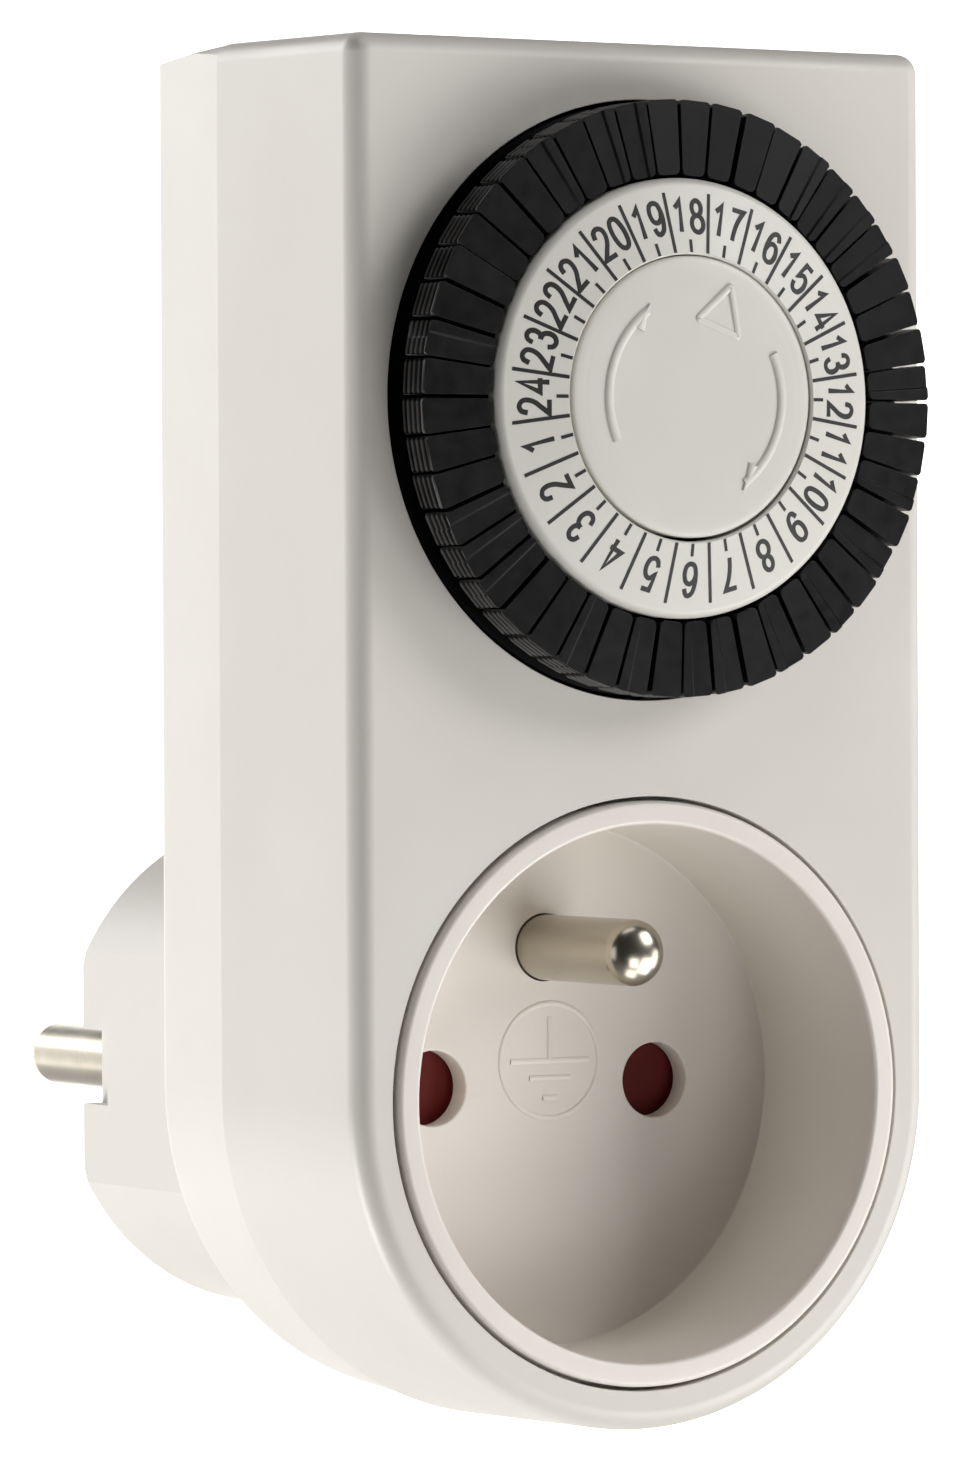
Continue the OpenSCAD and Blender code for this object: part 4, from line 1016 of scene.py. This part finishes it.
    def arrow(self, start: float, end: float) -> list[Piece]:
        """Raises a curved arrow, clockwise from one angle to another, with a half barb inside its head."""
        head = 90 - end
        bar = [(x, DIAL_Z + z) for x, z in arc(0, 0, self.arrow_r, 90 - start, head + self.arrow_stop, 24)]
        turns = [(r, math.radians(head + behind)) for r, behind in self.barb]
        barb = [(r * math.cos(a), DIAL_Z + r * math.sin(a)) for r, a in turns]
        f = self.crown(self.barb[1][0])
        foot, crest = f + self.sign_foot, f - self.arrow_rise
        return [ribbon(bar, self.arrow_line, foot, crest), ribbon(barb, self.barb_line, foot, crest)]

    def segment_head(self, stepped: bool) -> Piece:
        """Models the head of a push segment at the top of the dial: a wedge with grip ridges at its end.

        Args:
            stepped: Whether the ridges of its two halves are offset.

        Returns:
            The head.
        """
        t = math.tan(math.radians(self.pitch / 2))
        w0, w1 = (r * t - self.gap / 2 for r in (self.seg_in, self.seg_out))
        z0, z1 = DIAL_Z + self.seg_in, DIAL_Z + self.seg_out
        head = block((-w1, self.front, z0), (w1, self.back - self.head_play, z1))
        low, high = at(0, 0, z0).z, at(0, 0, z1).z
        with editing(head):
            pick(head, Pick.VERTS, lambda v: v.co.z < low + NEAR)
            bpy.ops.transform.resize(value=(w0 / w1, 1, 1), center_override=at(0, 0, z0))
            for level, reach, steps in ((high, self.corner_out, 3), (low, self.corner_in, 4)):
                pick(head, Pick.EDGES, lambda e: runs_back(e) and all(abs(v.co.z - level) < NEAR for v in e.verts))
                bpy.ops.mesh.bevel(offset=reach * MM, segments=steps, affect="EDGES")
            self.cut_ridges(head, high, stepped)
            if stepped:
                self.crease_front(head)
            front = at(0, self.front + self.crease, 0).y + NEAR
            pick(head, Pick.VERTS, lambda v: v.co.y < front and v.co.z > (low + high) / 2)
            bpy.ops.transform.translate(value=(0, self.fall * MM, 0))
            settle()
        return round_edges(head, self.seg_edge, 30)

    def tongue(self) -> Piece:
        """Models the tongue that guides a push segment in the wheel's slot."""
        low, high = (DIAL_Z + r for r in self.tongue_reach)
        start = self.back - self.tongue_root
        tongue = block((-self.tongue_half, start, low), (self.tongue_half, self.tongue_end, high))
        return round_edges(tongue, self.tongue_edge)

    def crease_front(self, head: Piece) -> None:
        """Sets the wider side of a head's front a little back from the other, along a crease."""
        for x in self.crease_x:
            split(head, lambda q: q.normal.y < -0.9, at(x, 0, 0), (1, 0, 0))
        front, side = at(0, self.front, 0).y + NEAR, self.crease_x[0] * MM + NEAR
        pick(head, Pick.VERTS, lambda v: v.co.y < front and v.co.x < side)
        bpy.ops.transform.translate(value=(0, self.crease * MM, 0))

    def cut_ridges(self, head: Piece, high: float, stepped: bool) -> None:
        """Cuts the grooves in a head's outer end, with or without a step halfway across."""
        step = (self.back - self.head_play - self.front - self.fall - self.ridge_ends) / self.ridges
        starts = [self.front + self.fall + self.ridge_start + step * k for k in range(self.ridges)]
        lines = [start + step * share for start in starts for share in self.ridge_cut]
        for x in (-self.ridge_split, self.ridge_split):
            split(head, lambda q: q.normal.z > 0.3, at(x, 0, 0), (1, 0, 0))
        for d in lines:
            split(head, lambda q: q.normal.z > 0.3, at(0, d, 0), (0, 1, 0))
        floors = [at(0, start + step * share, 0).y for start in starts for share in self.ridge_cut[1:3]]
        rim = high - self.corner_out * MM
        pick(head, Pick.VERTS, lambda v: v.co.z > rim and any(abs(v.co.y - y) < DOUBLE for y in floors))
        bpy.ops.transform.translate(value=(0, 0, -self.ridge_depth * MM))
        if stepped:
            near, far = at(0, lines[0], 0).y - DOUBLE, at(0, lines[-1], 0).y + DOUBLE
            side, foot = self.ridge_split * MM - NEAR, rim - self.corner_out * MM
            pick(head, Pick.VERTS, lambda v: v.co.z > foot and v.co.x > side and near <= v.co.y <= far)
            bpy.ops.transform.translate(value=(0, -self.ridge_shift * MM, 0))

    def segments(self) -> None:
        """Copies the segment round the dial, two to an hour, each head with a little play."""
        masters = [self.segment_head(False), self.segment_head(True), self.tongue()]
        middle = at(0, (self.front + self.back) / 2, DIAL_Z + self.play_middle)
        for hour in range(1, self.hours + 1):
            pair = []
            for i in (2 * hour - 2, 2 * hour - 1):
                lean, nod = (
                    Matrix.Rotation(math.radians(self.chance.uniform(-most, most)), 4, axis)
                    for most, axis in ((self.play_lean, "Z"), (self.play_nod, "X"))
                )
                slip = Matrix.Translation([self.chance.uniform(*span) * MM for span in self.play_slip])
                play = Matrix.Translation(middle) @ slip @ nod @ lean @ Matrix.Translation(-middle)
                master = masters[self.chance.random() < self.stepped_share]
                place = self.clockwise(self.pitch * (i + 0.5))
                pair += [copied(master, "half", place @ play), copied(masters[2], "tongue", place)]
            piece = smooth(join(f"push_pair_{hour:02d}", pair), 30)
            finish(piece, SEGMENT_POM, f"hour_{hour:02d}", "segment", f"segments_hour_{hour:02d}")
        for master in masters:
            bpy.data.objects.remove(master)


@dataclass
class Works:
    """Motor, gears and switch inside the case."""

    finishes: tuple[tuple[Finish, tuple[str, ...]], ...] = (
        (STEEL, ("dial_spindle", "motor_can", "gear_axles", "lever_pin", "plate_screws")),
        (WORKS_POM, ("gearbox_plate", "reduction_gear", "drive_gear", "switch_body")),
        (COIL, ("motor_coil",)),
        (PVC, ("motor_leads",)),
        (FERRITE, ("motor_rotor",)),
        (RED_PA, ("cam_lever",)),
        (BRASS, ("fixed_contact", "moving_contact")),
    )

    def build(self) -> None:
        """Dresses every piece of the works."""
        for surface, nodes in self.finishes:
            dress(surface, *nodes)


# Studio, in metres, with the camera's distance and target in millimetres


@dataclass(frozen=True)
class Lamp:
    """A soft white rectangular lamp that points at the object."""

    name: str
    place: Triple
    size: Pair
    power: float
    aim: Triple = (0.0, -0.04, 0.025)

    def build(self) -> None:
        """Sets the lamp up."""
        data = bpy.data.lights.new(self.name, "AREA")
        data.shape, data.energy = "RECTANGLE", self.power
        data.size, data.size_y = self.size
        lamp = bpy.data.objects.new(self.name, data)
        away = Vector(self.aim) - Vector(self.place)
        lamp.matrix_world = Matrix.Translation(self.place) @ away.to_track_quat("-Z", "Y").to_matrix().to_4x4()
        bpy.context.scene.collection.objects.link(lamp)


@dataclass
class Studio:
    """Camera, lamps and a plain pale floor that runs up into a backdrop."""

    yaw: float = 31.212
    pitch: float = 0.824
    roll: float = -0.275
    distance: float = 532.18
    target: Triple = (-13.591, 0.0, 25.428)
    lens: float = 183.74
    floor: Triple = (0.6, 0.4, -0.95)
    floor_size: float = 4.4
    # Where along Y the floor's back edge is looked for, and the height of the backdrop behind it.
    floor_back: float = 2.5
    wall: float = 2.2
    bend: float = 0.3
    glow: float = 1.75
    # Where along Y the backdrop's glow starts and is full.
    glow_reach: Pair = (2.3, 2.55)
    # Light from all round, and how bright the surroundings look to the camera.
    ambient: float = 0.03
    surround: float = 0.42
    lamps: tuple[Lamp, ...] = (
        Lamp("key_right_low", (0.45, -0.5, -0.32), (0.4, 0.4), 2.4),
        Lamp("key_right_high", (0.5, -0.5, 0.35), (0.3, 0.3), 2.1),
        Lamp("kicker_right", (0.3, -0.18, -0.06), (0.12, 0.16), 0.2),
        Lamp("front_low", (0.1, -0.75, -0.3), (0.3, 0.3), 1.0),
        Lamp("fill_below", (0.05, -0.4, -0.5), (0.3, 0.3), 0.75),
        Lamp("side_left_low", (-0.55, 0.24, -0.35), (0.4, 0.4), 4.7, (0.0, -0.02, 0.0)),
        Lamp("rear_left_high", (-0.35, 0.55, 0.35), (0.4, 0.4), 1.9, (0.0, 0.0, 0.0)),
        Lamp("edge_left", (-0.62, -0.3, 0.0), (0.3, 0.4), 0.42),
        Lamp("top_rear", (-0.05, 0.35, 0.8), (0.5, 0.5), 0.8, (0.0, 0.0, 0.05)),
        Lamp("top_front", (0.0, -0.3, 0.8), (0.5, 0.4), 1.1, (0.0, -0.04, 0.05)),
        Lamp("rear_right", (0.6, 0.5, 0.1), (0.4, 0.4), 0.8, (0.0, 0.0, 0.02)),
    )

    def build(self) -> None:
        """Sets the studio up."""
        self.camera()
        self.sweep()
        for lamp in self.lamps:
            lamp.build()
        world = bpy.data.worlds.new("studio")
        world.use_nodes = True
        ground = world.node_tree.nodes["Background"]
        ground.inputs["Color"].default_value = linear("#FFFFFF")
        seen = add(world.node_tree, "LightPath").outputs["Is Camera Ray"]
        span = {"To Min": self.ambient, "To Max": self.surround}
        level = add(world.node_tree, "MapRange", span, {"Value": seen})
        world.node_tree.links.new(level.outputs["Result"], ground.inputs["Strength"])
        bpy.context.scene.world = world
        view = bpy.context.scene.view_settings
        view.view_transform, view.look, view.exposure, view.gamma = "Standard", "None", 0.0, 1.0

    def camera(self) -> None:
        """Places the camera at its distance from the target, with its roll."""
        yaw, pitch, roll = (math.radians(a) for a in (self.yaw, self.pitch, self.roll))
        turns = ((-yaw, "Z"), (math.pi / 2 - pitch, "X"), (roll, "Z"))
        level, tilt, lean = (Matrix.Rotation(angle, 4, axis) for angle, axis in turns)
        data = bpy.data.cameras.new("camera")
        data.sensor_width, data.lens, data.clip_start = 36.0, self.lens, 0.02
        camera = bpy.data.objects.new("camera", data)
        back = Matrix.Translation((0, 0, self.distance * MM))
        camera.matrix_world = Matrix.Translation(at(*self.target)) @ level @ tilt @ lean @ back
        bpy.context.scene.collection.objects.link(camera)
        bpy.context.scene.camera = camera

    def sweep(self) -> None:
        """Makes the floor and bends it up into the backdrop, which glows evenly behind the object."""
        bpy.ops.mesh.primitive_plane_add(size=self.floor_size, location=self.floor)
        floor = fresh("studio_sweep")
        with editing(floor):
            pick(floor, Pick.EDGES, lambda e: all(v.co.y > self.floor_back for v in e.verts))
            bpy.ops.mesh.extrude_region_move(TRANSFORM_OT_translate={"value": (0, 0, self.wall)})
            pick(floor, Pick.EDGES, lambda e: all(v.co.y > self.floor_back and v.co.z < 0 for v in e.verts))
            bpy.ops.mesh.bevel(offset=self.bend, segments=12, affect="EDGES")
        smooth(floor, 60)
        paper = bpy.data.materials.new("paper_white_matt")
        paper.use_nodes = True
        tree = paper.node_tree
        tree.nodes.clear()
        place = add(tree, "TexCoord").outputs["Object"]
        fibre = add(tree, "TexNoise", {"Scale": 40.0, "Detail": 3.0}, {"Vector": place})
        bump = add(tree, "Bump", {"Strength": 0.1, "Distance": 0.0005}, {"Height": fibre.outputs["Fac"]})
        depth = add(tree, "SeparateXYZ", {}, {"Vector": place})
        near, far = self.glow_reach
        span = {"From Min": near, "From Max": far, "To Max": self.glow}
        glow = add(tree, "MapRange", span, {"Value": depth.outputs["Y"]})
        body = {"Base Color": linear("#F4F3F0"), "Roughness": 0.9, "Emission Color": linear("#FFFFFF")}
        feeds = {"Normal": bump.outputs["Normal"], "Emission Strength": glow.outputs["Result"]}
        shader = add(tree, "BsdfPrincipled", body, feeds)
        add(tree, "OutputMaterial", {}, {"Surface": shader.outputs["BSDF"]})
        floor.data.materials.append(paper)


def main() -> None:
    """Builds the studio and every sub-assembly, in order."""
    logging.basicConfig(level=logging.INFO, format="%(message)s")
    for part in (Studio(), Case(), Socket(), Plug(), Dial(), Works()):
        part.build()
        LOG.info("built %s", type(part).__name__)


if __name__ == "__main__":
    main()
